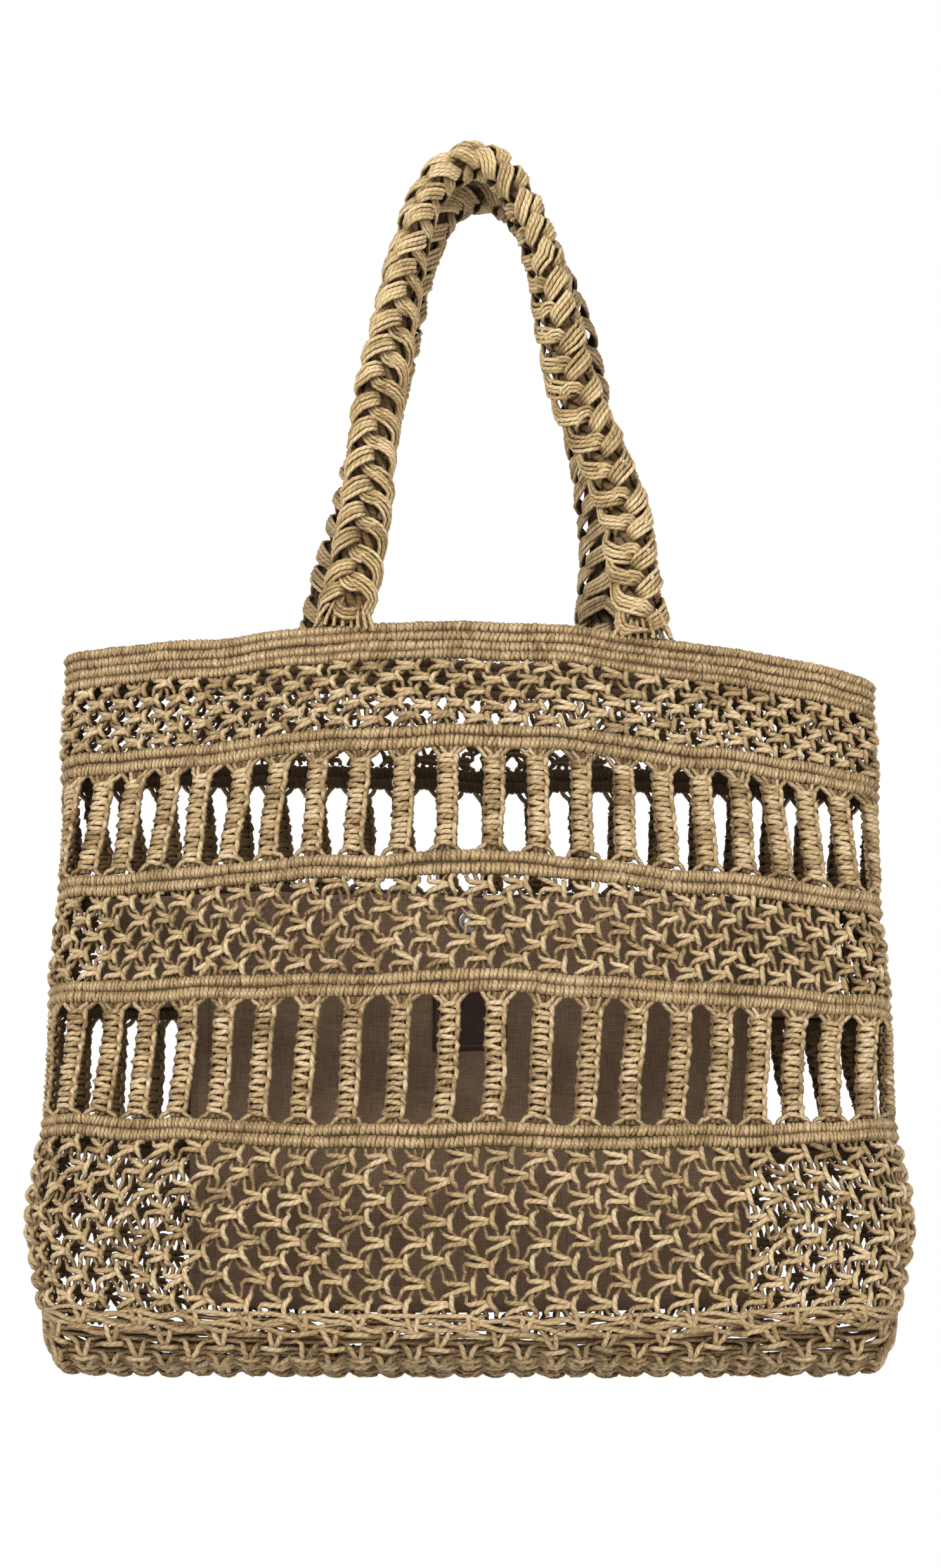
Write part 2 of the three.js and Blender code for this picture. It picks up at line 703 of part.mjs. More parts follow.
add('rim', ribbedRing('rim', RIM_RIBS, RIM_RIB), JUTE);
for (const band of ['band_1', 'band_2', 'band_3', 'band_4']) {
  add(band, ribbedRing(band, BAND_RIBS, BAND_RIB), JUTE);
}
add('net_upper', netRing('net_upper', NET_UPPER_HEIGHT, 2), JUTE);
add('net_middle', netRing('net_middle', NET_MIDDLE_HEIGHT, 2), JUTE);
add('net_lower', netRing('net_lower', NET_LOWER_HEIGHT, 4), JUTE);
for (const row of SENNIT_ROWS) add(row.node, sennitRing(row), JUTE);
add('base', baseTray(), JUTE);
add('handle_front', handle(FRONT_HANDLE, true), JUTE_HANDLE);
add('handle_back', handle(BACK_HANDLE, false), JUTE_HANDLE);
add('pouch_strip', canvasStrip(), CANVAS_BROWN);
add('pouch', pouch(), CANVAS_BROWN);
add('label', label(), LABEL_BROWN);
placeSnap(add('snap', snap(), SNAP_METAL));

export default bag;
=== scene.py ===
# An openwork jute tote that hangs by its two handles from a hook at the origin.
# The body is knotted cord: every rib, net knot, upright sennit and handle stitch is laid out
# here as its own run of cord, over the wall surface that the CAD solids follow.

import math

import bpy
import numpy as np
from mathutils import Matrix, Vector


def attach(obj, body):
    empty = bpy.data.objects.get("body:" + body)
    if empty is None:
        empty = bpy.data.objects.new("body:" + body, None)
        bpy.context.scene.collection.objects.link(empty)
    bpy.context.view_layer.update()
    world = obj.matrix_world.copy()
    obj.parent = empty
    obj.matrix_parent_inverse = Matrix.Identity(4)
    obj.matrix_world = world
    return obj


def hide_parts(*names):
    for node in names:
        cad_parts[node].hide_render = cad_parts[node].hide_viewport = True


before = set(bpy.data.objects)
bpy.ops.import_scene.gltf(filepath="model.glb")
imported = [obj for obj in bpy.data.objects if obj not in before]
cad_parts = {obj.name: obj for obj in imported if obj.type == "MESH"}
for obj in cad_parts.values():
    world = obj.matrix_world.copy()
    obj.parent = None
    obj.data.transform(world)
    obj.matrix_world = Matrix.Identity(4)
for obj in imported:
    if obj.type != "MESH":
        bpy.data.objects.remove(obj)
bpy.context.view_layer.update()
rng = np.random.default_rng(11)

# Millimetres from here on, and metres only where a mesh is made
MM = 0.001

# Sizes of the solids
BODY_WIDTH = 484.0
BODY_DEPTH = 116.0
BODY_SAG = 25.0
BODY_TO_HOOK = 7.0
RIM_TO_HOOK = 273.5
RIM_RIB = 5.6
BAND_RIB = 6.9
SENNITS = 44
SENNIT_LEAN = 9.0
SPREAD = 0.15
STRAP_WIDTH = 30.0
STRAP_THICKNESS = 20.0
STRAP_SPACING = STRAP_WIDTH * 1.07 + 0.3
HANDLE_REACH = 100.0
HOOK_RISE = 8.0
CANVAS = 1.2
STRIP_WIDTH = 416.0
POUCH_WIDTH = 317.0
POUCH_HEIGHT = 227.0
POUCH_GAPE = 15.0
POUCH_EDGE = 3.6
LABEL_WIDTH = 44.0
LABEL_HEIGHT = 40.0
LABEL_DROP = 50.0
SNAP_DROP = 15.0
# How far the sewn pouch sinks below its plain form
POUCH_SINK = 9.0

# Radius of one jute cord, of the slack cords of the nets, and the pitch of the wraps of a rib
CORD = 1.18
NET_CORD = 1.42
WRAP = 2.3

# Top and bottom of each belt below the rim's upper edge
BELTS = {
    "rim": (0.0, 22.4),
    "net_upper": (22.4, 62.4),
    "band_1": (62.4, 76.2),
    "sennits_upper": (76.2, 135.2),
    "band_2": (135.2, 149.0),
    "net_middle": (149.0, 201.5),
    "band_3": (201.5, 215.3),
    "sennits_lower": (215.3, 286.8),
    "band_4": (286.8, 300.6),
    "net_lower": (300.6, 391.6),
}
# Depth of the walls' lower edge
EDGE = BELTS["net_lower"][1]
STRIP_TOP = sum(BELTS["band_2"]) / 2
STRIP_BOTTOM = sum(BELTS["band_3"]) / 2
STRIP_OUT = -BAND_RIB / 2 - 0.3
POUCH_OUT = STRIP_OUT - CANVAS - 0.6

# Plan sections: depth, then width, depth, side, end, left and right as in the solids
ROWS = np.array([
    [0.0, 0.948, 0.69, 0.21, 0.19, 0.4, 1.0],
    [22.4, 0.944, 0.72, 0.22, 0.19, 0.4, 1.0],
    [69.3, 0.947, 0.9, 0.25, 0.21, 0.36, 0.8],
    [142.1, 0.947, 0.91, 0.3, 0.25, 0.24, 0.64],
    [208.4, 0.963, 0.89, 0.38, 0.32, 0.0, 0.36],
    [293.7, 0.972, 0.94, 0.5, 0.4, -0.48, -0.32],
    [341.55, 1.0, 1.0, 0.72, 0.48, -0.42, -0.32],
    [391.6, 0.965, 0.98, 0.8, 0.48, -0.34, -0.32],
])
# Waves round the loop, their lag, their roll with depth and their swing in millimetres
DRIFT_WAVES = [
    (3, 0.15, 0.004, 0.5), (5, 0.62, -0.006, 0.55), (8, 0.34, 0.009, 0.6), (13, 0.81, -0.012, 0.45),
    (19, 0.07, 0.016, 0.3),
]
# They fade out over this much above the lower edge
DRIFT_FADE = 60
ROW_SCALES = np.array([
    BODY_WIDTH / 2, BODY_DEPTH / 2, BODY_DEPTH / 2, BODY_DEPTH / 2, BODY_SAG, BODY_SAG,
])


def unit(v):
    return v / np.maximum(np.linalg.norm(v, axis=-1, keepdims=True), 1e-9)


def square_to(v, axis):
    """The direction of what v has square to a unit axis."""
    return unit(v - np.sum(v * axis, -1, keepdims=True) * axis)


def running(steps):
    """Running totals of steps along the last axis, from 0."""
    total = np.cumsum(steps, -1)
    return np.concatenate([np.zeros_like(total[..., :1]), total], -1)


def matched(*values):
    """Values as arrays of one shape."""
    return np.broadcast_arrays(*(np.asarray(value, float) for value in values))


def section_at(depth):
    """Smooth width, depth, side, end, left and right, in millimetres, at each depth."""
    depth = np.asarray(depth, float)
    at = ROWS[:, 0]
    last = len(ROWS) - 1
    after = np.clip(np.searchsorted(at, depth, side="right"), 1, last)
    a, b = ROWS[after - 1], ROWS[after]
    before, beyond = ROWS[np.maximum(after - 2, 0)], ROWS[np.minimum(after + 1, last)]
    span = (b[..., 0] - a[..., 0])[..., None]
    t = np.clip((depth - a[..., 0]) / span[..., 0], 0, 1)[..., None]
    rise = (b[..., 1:] - before[..., 1:]) / (b[..., :1] - before[..., :1]) * span
    fall = (beyond[..., 1:] - a[..., 1:]) / (beyond[..., :1] - a[..., :1]) * span
    value = (2 * t**3 - 3 * t**2 + 1) * a[..., 1:] + (t**3 - 2 * t**2 + t) * rise
    value = value + (3 * t**2 - 2 * t**3) * b[..., 1:] + (t**3 - t**2) * fall
    return value * ROW_SCALES


def arch(share):
    """How much of a half's bulge is left at a share of the way from its middle to its end cap."""
    return np.clip(np.cos(np.pi / 2 * np.clip(share, 0, 1)), 0, 1) ** 1.5


def hang_at(section, x):
    """How much lower the wall hangs at x than in its middle."""
    return np.where(x < 0, section[..., 4], section[..., 5]) * (x / section[..., 0]) ** 2


# The part of the front curve's parameter that each of its end caps takes
CAP = 0.12


def front_curve(section, t):
    """A point of a section's front half, from its left end at 0 to its right end at 1."""
    width, depth, side, end = (section[..., i] for i in range(4))
    start = np.where(t > 0.5, 1 - t, t)
    angle = np.clip(start / CAP, 0, 1) * (np.pi / 2)
    straight = width - end
    flat_x = -straight * (1 - (start - CAP) / (0.5 - CAP))
    in_cap = start < CAP
    x = np.where(in_cap, -width + end * (1 - np.cos(angle)), flat_x)
    y = np.where(in_cap, -side * np.sin(angle), -side - (depth - side) * arch(-flat_x / straight))
    return np.stack([np.where(t > 0.5, -x, x), y], -1)


# The curve's parameter for each share of the front's length, on a grid of depths
GRID_PITCH = 2.0
GRID_DEPTHS = np.arange(-10.0, 420.0, GRID_PITCH)
GRID_CELLS = 360
GRID_SHARES = np.linspace(0, 1, GRID_CELLS + 1)
_points = front_curve(section_at(GRID_DEPTHS)[:, None, :], GRID_SHARES[None, :])
_lengths = running(np.linalg.norm(np.diff(_points, axis=1), axis=2))
FRONT_LENGTHS = _lengths[:, -1]
GRID = np.array([np.interp(GRID_SHARES, row / row[-1], GRID_SHARES) for row in _lengths])


def parameter_at(share, depth):
    """The curve's parameter at a share of the front's length, read from the grid."""
    row = np.clip((depth - GRID_DEPTHS[0]) / GRID_PITCH, 0, len(GRID_DEPTHS) - 1.001)
    column = np.minimum(np.clip(share, 0, 1) * GRID_CELLS, GRID_CELLS - 0.001)
    i, j = row.astype(int), column.astype(int)
    u, v = row - i, column - j
    top = GRID[i, j] * (1 - v) + GRID[i, j + 1] * v
    low = GRID[i + 1, j] * (1 - v) + GRID[i + 1, j + 1] * v
    return top * (1 - u) + low * u


def drift(loop, depth):
    """How far the hand-tied belts rise and sink along the loop, in millimetres of depth."""
    total = np.zeros_like(loop)
    for waves, lag, roll, swing in DRIFT_WAVES:
        total = total + swing * np.sin(2 * np.pi * (waves * loop + lag) + roll * depth)
    return total * np.clip((EDGE - depth) / DRIFT_FADE, 0, 1)


def wall(turn, depth, out):
    """Points of the wall. turn runs once round from the left end, along the front first."""
    turn, depth, out = matched(turn, depth, out)
    loop = turn - np.floor(turn)
    depth = depth + drift(loop, depth)
    back = loop > 0.5
    along = np.where(back, 2 - 2 * loop, 2 * loop)
    spread = along - SPREAD / (2 * np.pi) * np.sin(2 * np.pi * along)
    section = section_at(depth)
    t = parameter_at(spread, depth)
    reach = 0.004
    tangent = front_curve(section, np.minimum(t + reach, 1))
    tangent = tangent - front_curve(section, np.maximum(t - reach, 0))
    tangent /= np.linalg.norm(tangent, axis=-1, keepdims=True)
    point = front_curve(section, t)
    x = point[..., 0] + tangent[..., 1] * out
    y = point[..., 1] - tangent[..., 0] * out
    z = -RIM_TO_HOOK - depth - hang_at(section, x)
    return np.stack([x - BODY_TO_HOOK, np.where(back, -y, y), z], -1)


def loop_length(depth):
    """The length once round the wall."""
    return 2 * np.interp(depth, GRID_DEPTHS, FRONT_LENGTHS)


def turn_of(length, turn, depth):
    """A length along the wall as a share of the loop."""
    return length / (loop_length(depth) * (1 - SPREAD * np.cos(4 * np.pi * turn)))


def front_turn(x, depth):
    """The turn at which the front wall is x from the body's middle."""
    turns = np.linspace(0, 0.5, 1001)
    xs = wall(turns, depth, 0)[:, 0] + BODY_TO_HOOK
    return np.interp(x, xs, turns)


# Meshes


def in_scene(name, data):
    made = bpy.data.objects.new(name, data)
    bpy.context.collection.objects.link(made)
    return made


def copies(points, count):
    """The control points of one run of cord, once for each of several runs."""
    return np.tile(np.array(points, float), (count, 1, 1))


def spline(points, samples):
    """A Catmull-Rom curve through control points of shape (n, k, 3)."""
    k = points.shape[-2]
    t = np.linspace(0, k - 1, samples)
    i = np.minimum(t.astype(int), k - 2)
    f = t - i
    weights = np.zeros((samples, k))
    parts = [
        (-1, -0.5 * f**3 + f**2 - 0.5 * f),
        (0, 1.5 * f**3 - 2.5 * f**2 + 1),
        (1, -1.5 * f**3 + 2 * f**2 + 0.5 * f),
        (2, 0.5 * f**3 - 0.5 * f**2),
    ]
    for step, weight in parts:
        np.add.at(weights, (np.arange(samples), np.clip(i + step, 0, k - 1)), weight)
    return weights @ points


def smoothstep(x, low, high):
    t = np.clip((x - low) / (high - low), 0, 1)
    return t * t * (3 - 2 * t)


def wall_outward(points):
    """Roughly the outward direction of the wall at points near it."""
    scaled = (points + np.array([BODY_TO_HOOK, 0, 0])) / np.array([BODY_WIDTH**2, BODY_DEPTH**2, 1])
    scaled[..., 2] = 0
    return unit(scaled * 1e4)


class Cords:
    """Runs of cord collected into one mesh, with UVs along and round each run."""

    def __init__(self):
        self.verts = []
        self.quads = []
        self.uvs = []
        self.tones = []
        self.shades = []
        self.count = 0

    def collect(self, rings, corners, tones, shades):
        """Takes in rings of shape (n, m, sides, 3), with the (u, v) of each quad's four corners and
        the tone and shade of each point."""
        n, m, sides, _ = rings.shape
        index = self.count + np.arange(n * m * sides).reshape(n, m, sides)
        follow = np.roll(index, -1, axis=2)
        quads = np.stack([index[:, :-1], follow[:, :-1], follow[:, 1:], index[:, 1:]], -1)
        uv = np.stack([np.stack(corner, -1) for corner in corners], -2)
        self.verts.append(rings.reshape(-1, 3))
        self.quads.append(quads.reshape(-1, 4))
        self.uvs.append(uv.reshape(-1, 2))
        self.tones.append(tones.reshape(-1))
        self.shades.append(shades.reshape(-1))
        self.count += n * m * sides

    def add(self, rings, u, v, tone, shade=1.0):
        """rings is (n, m, sides, 3), u is (n, m), v is (sides + 1), shade is (n, m, sides)."""
        n, m, sides, _ = rings.shape
        shape = (n, m - 1, sides)
        low, high = (np.broadcast_to(part[..., None], shape) for part in (u[:, :-1], u[:, 1:]))
        left, right = (np.broadcast_to(part, shape) for part in (v[:-1], v[1:]))
        corners = [(low, left), (low, right), (high, right), (high, left)]
        tones = np.broadcast_to(np.asarray(tone, float).reshape(-1, 1), (n, m * sides))
        self.collect(rings, corners, tones, np.broadcast_to(shade, (n, m, sides)))

    def tubes(self, paths, radius=CORD, sides=5, shade=1.0, outward=None, dark=0.42):
        """Round cords along paths of shape (n, m, 3), with painted shade on their inner sides, as deep
        as said.
        """
        n, m, _ = paths.shape
        tangent = unit(np.gradient(paths, axis=1))
        normal = np.zeros_like(paths)
        current = np.eye(3)[np.argmin(np.abs(tangent[:, 0]), axis=1)]
        for i in range(m):
            current = square_to(current, tangent[:, i])
            normal[:, i] = current
        across = np.cross(tangent, normal)
        angle = np.linspace(0, 2 * np.pi, sides, endpoint=False)
        ring = np.cos(angle)[:, None] * normal[:, :, None] + np.sin(angle)[:, None] * across[:, :, None]
        size = np.broadcast_to(np.asarray(radius, float), (n, m))
        rings = paths[:, :, None] + ring * size[:, :, None, None]
        u = running(np.linalg.norm(np.diff(paths, axis=1), axis=-1)) + rng.uniform(0, 50, (n, 1))
        tone = rng.uniform(0, 1, n)
        if outward is None:
            outward = wall_outward(paths)
        # Painted shade: each cord is darker on its side that faces in, and darker as a whole by the
        # shade given
        facing = np.sum(ring * outward[:, :, None], -1)
        lit = dark + (1 - dark) * smoothstep(facing, -0.5, 0.8)
        lit = lit * np.broadcast_to(np.asarray(shade, float), (n, m))[:, :, None]
        self.add(rings, u, np.linspace(0, 1, sides + 1), tone, lit)

    def object(self, name, material, slot_name, *nodes):
        """Makes the collected cords into one piece."""
        verts = np.concatenate(self.verts) * MM
        quads = np.concatenate(self.quads)
        made = quad_mesh(name, verts, quads, np.concatenate(self.uvs), material)
        for attribute, values in (("tone", self.tones), ("shade", self.shades)):
            layer = made.data.attributes.new(attribute, "FLOAT", "POINT")
            layer.data.foreach_set("value", np.concatenate(values).astype(np.float32))
        return settle(made, nodes)


def quad_mesh(name, verts, quads, uvs, material):
    """A smooth mesh of quads, in metres, with one UV for each corner."""
    mesh = bpy.data.meshes.new(name)
    mesh.vertices.add(len(verts))
    mesh.vertices.foreach_set("co", verts.astype(np.float32).reshape(-1))
    mesh.loops.add(quads.size)
    mesh.loops.foreach_set("vertex_index", quads.astype(np.int32).reshape(-1))
    mesh.polygons.add(len(quads))
    starts = np.arange(0, quads.size, 4, dtype=np.int32)
    mesh.polygons.foreach_set("loop_start", starts)
    mesh.update(calc_edges=True)
    mesh.polygons.foreach_set("use_smooth", np.ones(len(quads), bool))
    layer = mesh.uv_layers.new(name="UVMap")
    layer.data.foreach_set("uv", uvs.astype(np.float32).reshape(-1))
    mesh.validate()
    mesh.materials.append(material)
    return in_scene(name, mesh)


def settle(piece, nodes):
    """Puts a piece on the root body in the place of its CAD nodes."""
    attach(piece, "root")
    if nodes:
        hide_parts(*nodes)
    return piece


# Materials


class Nodes:
    """A short hand for building one material's nodes."""

    def __init__(self, name):
        self.material = bpy.data.materials.new(name)
        self.material.use_nodes = True
        self.tree = self.material.node_tree
        self.shader = self.tree.nodes["Principled BSDF"]

    def node(self, kind, inputs=(), **values):
        """A new node, with its inputs given by name or number."""
        made = self.tree.nodes.new(kind)
        for key, value in values.items():
            setattr(made, key, value)
        self.feed(made, inputs)
        return made

    def feed(self, node, inputs):
        """Sets a node's inputs to numbers and colours, or links other nodes' outputs to them."""
        for key, value in dict(inputs).items():
            socket = node.inputs[key]
            if isinstance(value, (int, float)):
                socket.default_value = value
            elif isinstance(value, tuple):
                socket.default_value = (*value, 1)
            else:
                self.tree.links.new(value, socket)

    def finish(self, **inputs):
        """Feeds the shader and gives back the material."""
        self.feed(self.shader, {key.replace("_", " "): value for key, value in inputs.items()})
        return self.material

    def math(self, operation, *values):
        return self.node("ShaderNodeMath", enumerate(values), operation=operation).outputs[0]

    def vector(self, *values):
        return self.node("ShaderNodeCombineXYZ", enumerate(values)).outputs[0]

    def sway(self, value, noise, size):
        """A value moved up and down by a noise."""
        return self.math("MULTIPLY_ADD", self.math("SUBTRACT", noise, 0.5), size, value)

    def place(self):
        return self.node("ShaderNodeTexCoord").outputs["Object"]

    def uv(self):
        uv = self.node("ShaderNodeUVMap", uv_map="UVMap").outputs["UV"]
        return self.node("ShaderNodeSeparateXYZ", {0: uv}).outputs[:2]

    def attribute(self, name):
        return self.node("ShaderNodeAttribute", attribute_name=name).outputs["Fac"]

    def noise(self, vector, scale, detail=2.0, rough=0.5):
        inputs = {"Vector": vector, "Scale": scale, "Detail": detail, "Roughness": rough}
        return self.node("ShaderNodeTexNoise", inputs).outputs["Fac"]

    def ramp(self, factor, stops):
        made = self.node("ShaderNodeValToRGB", {"Fac": factor})
        ramp = made.color_ramp
        while len(ramp.elements) < len(stops):
            ramp.elements.new(0.5)
        for element, (position, colour) in zip(ramp.elements, stops):
            element.position = position
            element.color = (*colour, 1)
        return made.outputs["Color"]

    def multiply(self, a, b):
        inputs = {0: 1.0, 6: a, 7: b}
        return self.node("ShaderNodeMix", inputs, data_type="RGBA", blend_type="MULTIPLY").outputs[2]

    def bump(self, height, strength, distance):
        inputs = {"Strength": strength, "Distance": distance, "Height": height}
        return self.node("ShaderNodeBump", inputs).outputs["Normal"]


# Painted shade: what lies deep between the cords is darkened towards these colours
PAINTED_SHADE_RAMP = [(0.1, (0.1, 0.075, 0.055)), (0.45, (0.38, 0.31, 0.24)), (0.95, (1.0, 1.0, 1.0))]
# The length in millimetres in which a cord's two plies turn once round each other
LAY = 7.5


def jute(name, dark, middle, light):
    """Two-ply jute cord. UV runs in millimetres along the cord and once round it."""
    n = Nodes(name)
    u, v = n.uv()
    tone = n.attribute("tone")
    place = n.place()

    # Two plies laid round each other, and the fibres that run along them
    phase = n.math("ADD", n.math("MULTIPLY", v, 2.0), n.math("DIVIDE", u, LAY / 2))
    ply = n.math("ABSOLUTE", n.math("SINE", n.math("MULTIPLY", phase, math.pi)))
    across = n.math("MULTIPLY", phase, 5.0)
    streak = n.vector(across, n.math("MULTIPLY", u, 0.22), n.math("MULTIPLY", tone, 40.0))
    fibre = n.noise(streak, 1.0, 4.0, 0.65)
    patch = n.noise(place, 55.0, 3.0, 0.6)
    fleck = n.noise(place, 700.0, 2.0, 0.6)

    value = n.math("ADD", n.math("MULTIPLY_ADD", tone, 0.34, -0.17), fibre)
    value = n.sway(n.sway(value, patch, 0.7), fleck, 0.2)
    colour = n.ramp(value, [(0.2, dark), (0.5, middle), (0.82, light)])
    # Painted shade in the grooves between the two plies
    groove = n.math("MULTIPLY_ADD", n.math("POWER", ply, 0.6), 0.35, 0.65)
    shade = n.node("ShaderNodeCombineColor", {0: groove, 1: groove, 2: groove}).outputs[0]
    # Painted shade from the shade attribute, through the painted-shade ramp
    colour = n.multiply(n.multiply(colour, shade), n.ramp(n.attribute("shade"), PAINTED_SHADE_RAMP))
    return n.finish(
        Base_Color=colour,
        Roughness=n.math("MULTIPLY_ADD", fibre, 0.25, 0.7),
        Specular_IOR_Level=0.18,
        Sheen_Weight=0.18,
        Sheen_Roughness=0.6,
        Sheen_Tint=(0.9, 0.78, 0.58),
        Normal=n.bump(n.math("MULTIPLY_ADD", fibre, 0.35, ply), 0.7, 0.0005),
    )


def canvas(name, dark, light, threads=1.15):
    """Plain-woven cotton canvas, with UVs and the pitch of its threads in millimetres."""
    n = Nodes(name)
    u, v = n.uv()
    place = n.place()
    su = n.math("SINE", n.math("MULTIPLY", u, math.pi / threads))
    sv = n.math("SINE", n.math("MULTIPLY", v, math.pi / threads))
    over = n.math("MULTIPLY", su, sv)
    warp = n.math("MULTIPLY", n.math("ABSOLUTE", su), n.math("GREATER_THAN", over, 0.0))
    weft = n.math("MULTIPLY", n.math("ABSOLUTE", sv), n.math("LESS_THAN", over, 0.0))
    weave = n.math("ADD", warp, weft)
    thread = n.noise(n.vector(n.math("MULTIPLY", u, 0.08), n.math("MULTIPLY", v, 1.6), 0.0), 1.0, 3.0)
    cross = n.noise(n.vector(n.math("MULTIPLY", u, 1.6), n.math("MULTIPLY", v, 0.08), 3.0), 1.0, 3.0)
    worn = n.noise(place, 24.0, 3.0, 0.6)
    fleck = n.noise(place, 1300.0, 2.0, 0.7)
    value = n.math("MULTIPLY_ADD", weave, 0.3, 0.12)
    for noise, size in ((thread, 0.55), (cross, 0.45), (worn, 0.55), (fleck, 0.35)):
        value = n.sway(value, noise, size)
    return n.finish(
        Base_Color=n.ramp(value, [(0.05, dark), (0.65, light)]),
        Roughness=n.math("MULTIPLY_ADD", thread, 0.15, 0.78),
        Specular_IOR_Level=0.2,
        Sheen_Weight=0.12,
        Sheen_Roughness=0.5,
        Normal=n.bump(weave, 0.7, 0.0003),
    )


def leather(name):
    """A dark suede-like patch with a fine grain."""
    n = Nodes(name)
    place = n.place()
    grain = n.noise(place, 900.0, 4.0, 0.65)
    patch = n.noise(place, 90.0, 3.0, 0.6)
    value = n.math("MULTIPLY_ADD", patch, 0.6, n.math("MULTIPLY", grain, 0.4))
    return n.finish(
        Base_Color=n.ramp(value, [(0.3, (0.02, 0.01, 0.008)), (0.7, (0.06, 0.032, 0.024))]),
        Roughness=n.math("MULTIPLY_ADD", grain, 0.3, 0.55),
        Specular_IOR_Level=0.3,
        Normal=n.bump(grain, 0.5, 0.0004),
    )


def metal(name):
    """Worn nickel, duller and darker in its scratches."""
    n = Nodes(name)
    place = n.place()
    scratch = n.noise(place, 1500.0, 3.0, 0.6)
    patch = n.noise(place, 260.0, 2.0, 0.5)
    return n.finish(
        Base_Color=n.ramp(patch, [(0.3, (0.25, 0.24, 0.22)), (0.7, (0.5, 0.48, 0.45))]),
        Metallic=1.0,
        Roughness=n.math("MULTIPLY_ADD", scratch, 0.3, 0.22),
        Normal=n.bump(scratch, 0.15, 0.0002),
    )


JUTE = jute("jute_cord", (0.2, 0.125, 0.053), (0.54, 0.385, 0.2), (0.77, 0.605, 0.385))
HANDLE_FRONT = jute("jute_handle", (0.23, 0.15, 0.06), (0.63, 0.455, 0.225), (0.86, 0.685, 0.425))
# Painted shade: the back handle is a darker copy of the handle jute, for the shade it hangs in behind
# the front one
HANDLE_BACK_SHADED = jute("jute_handle_back_shaded", (0.17, 0.105, 0.045), (0.44, 0.315, 0.165), (0.66, 0.5, 0.3))
THREAD = canvas("thread_brown", (0.1, 0.06, 0.035), (0.34, 0.23, 0.15), 0.4)
CANVAS_BROWN = canvas("canvas_brown", (0.1, 0.062, 0.036), (0.36, 0.235, 0.15))
LEATHER = leather("patch_leather")
NICKEL = metal("snap_nickel")


# Ribs: cord wrapped tightly round a core, in turns


def wander(turn, seed, size):
    """A smooth sideways wander of a run of cord round the loop."""
    local = np.random.default_rng(seed)
    total = np.zeros_like(turn)
    for waves in (3, 7, 12, 21, 34):
        swing = local.uniform(0.4, 1.0) / waves**0.35
        total += swing * np.sin(2 * np.pi * (waves * turn + local.uniform()))
    return size * total / 1.6


# A wrap's three rings, as shares of it: the groove before it and the two edges of its top
WRAP_RINGS = np.array([0.0, 0.22, 0.78])
RIB_SIDES = 6
# Wraps to each lump of a rib
LUMP = 5


def add_rib(cords, depth, diameter, seed, wave):
    """One rib of wrapped cord round the whole loop, with every other groove a shallow one."""
    wraps = int(round(float(loop_length(depth)) / WRAP))
    local = np.random.default_rng(seed)
    starts = np.arange(wraps) + local.normal(0, 0.13, wraps)
    starts[0] = 0
    gaps = np.diff(np.append(starts, wraps))
    share = ((starts[:, None] + WRAP_RINGS * gaps[:, None]) / wraps).reshape(-1)
    share = np.append(share, 1.0)
    paths = wall(share, depth + wander(share, seed, wave), wander(share, seed + 50, 0.3))
    tangent = unit(np.gradient(paths, axis=0))
    tangent[0] = tangent[-1] = unit(paths[1] - paths[0])
    outward = unit(np.cross(tangent, np.array([0.0, 0.0, 1.0])))
    rise = np.cross(outward, tangent)

    swell = local.normal(1.0, 0.05, (wraps, 1))
    spots = np.arange(0, wraps + LUMP, LUMP)
    lumps = np.interp(np.arange(wraps), spots, local.normal(0, 0.055, len(spots)))
    radius = (swell + lumps[:, None]) * np.array([0.8, 1.03, 1.02])
    paired = np.arange(wraps) % 2
    radius[:, 0] = 0.78 + 0.1 * paired + 0.03 * local.normal(size=wraps) + lumps
    lean = local.normal(0.5, 0.55, (wraps, 1)) * np.ones(3)
    lean[:, 0] = (lean[:, 1] + np.roll(lean[:, 1], 1)) / 2
    # Painted shade in the groove before each wrap, less in the shallow ones
    groove = np.tile([0.36, 1.0, 0.94], (wraps, 1))
    groove[:, 0] += 0.22 * paired + np.clip(local.normal(0, 0.15, wraps), -0.25, 0.4)
    tones = np.repeat(np.clip(local.normal(0.5, 0.17, wraps), 0, 1), 3)

    def closed(values):
        values = values.reshape(-1)
        return np.append(values, values[0])

    radius, lean, groove, tones = (closed(v) for v in (radius, lean, groove, tones))
    angle = np.linspace(0, 2 * np.pi, RIB_SIDES, endpoint=False)
    flat = np.cos(angle)[:, None] * outward[:, None] + np.sin(angle)[:, None] * rise[:, None]
    rings = paths[:, None] + flat * (diameter / 2 * radius)[:, None, None]
    rings = rings + (np.sin(angle)[None, :] * lean[:, None])[:, :, None] * tangent[:, None]
    # Painted shade on the rib's upper and lower sides, where it meets its neighbours
    lit = 0.14 + 0.86 * smoothstep(np.cos(angle), -0.05, 0.92)

    # UVs run along the wrapped cord, which goes round the rib
    around = np.linspace(0, 2 * np.pi, RIB_SIDES + 1) * diameter / 2
    wrap = np.repeat(np.arange(wraps) * 3.7, 3)[:, None]
    ends = np.tile(np.append(WRAP_RINGS, 1.0) / 2, (wraps, 1))
    low = np.repeat(ends[:, :-1].reshape(-1, 1), RIB_SIDES, 1)
    high = np.repeat(ends[:, 1:].reshape(-1, 1), RIB_SIDES, 1)
    left, right = around[None, :-1] + wrap, around[None, 1:] + wrap
    corners = [(left, low), (right, low), (right, high), (left, high)]
    tones = np.repeat(tones, RIB_SIDES)
    cords.collect(rings[None], corners, tones, groove[:, None] * lit[None, :])


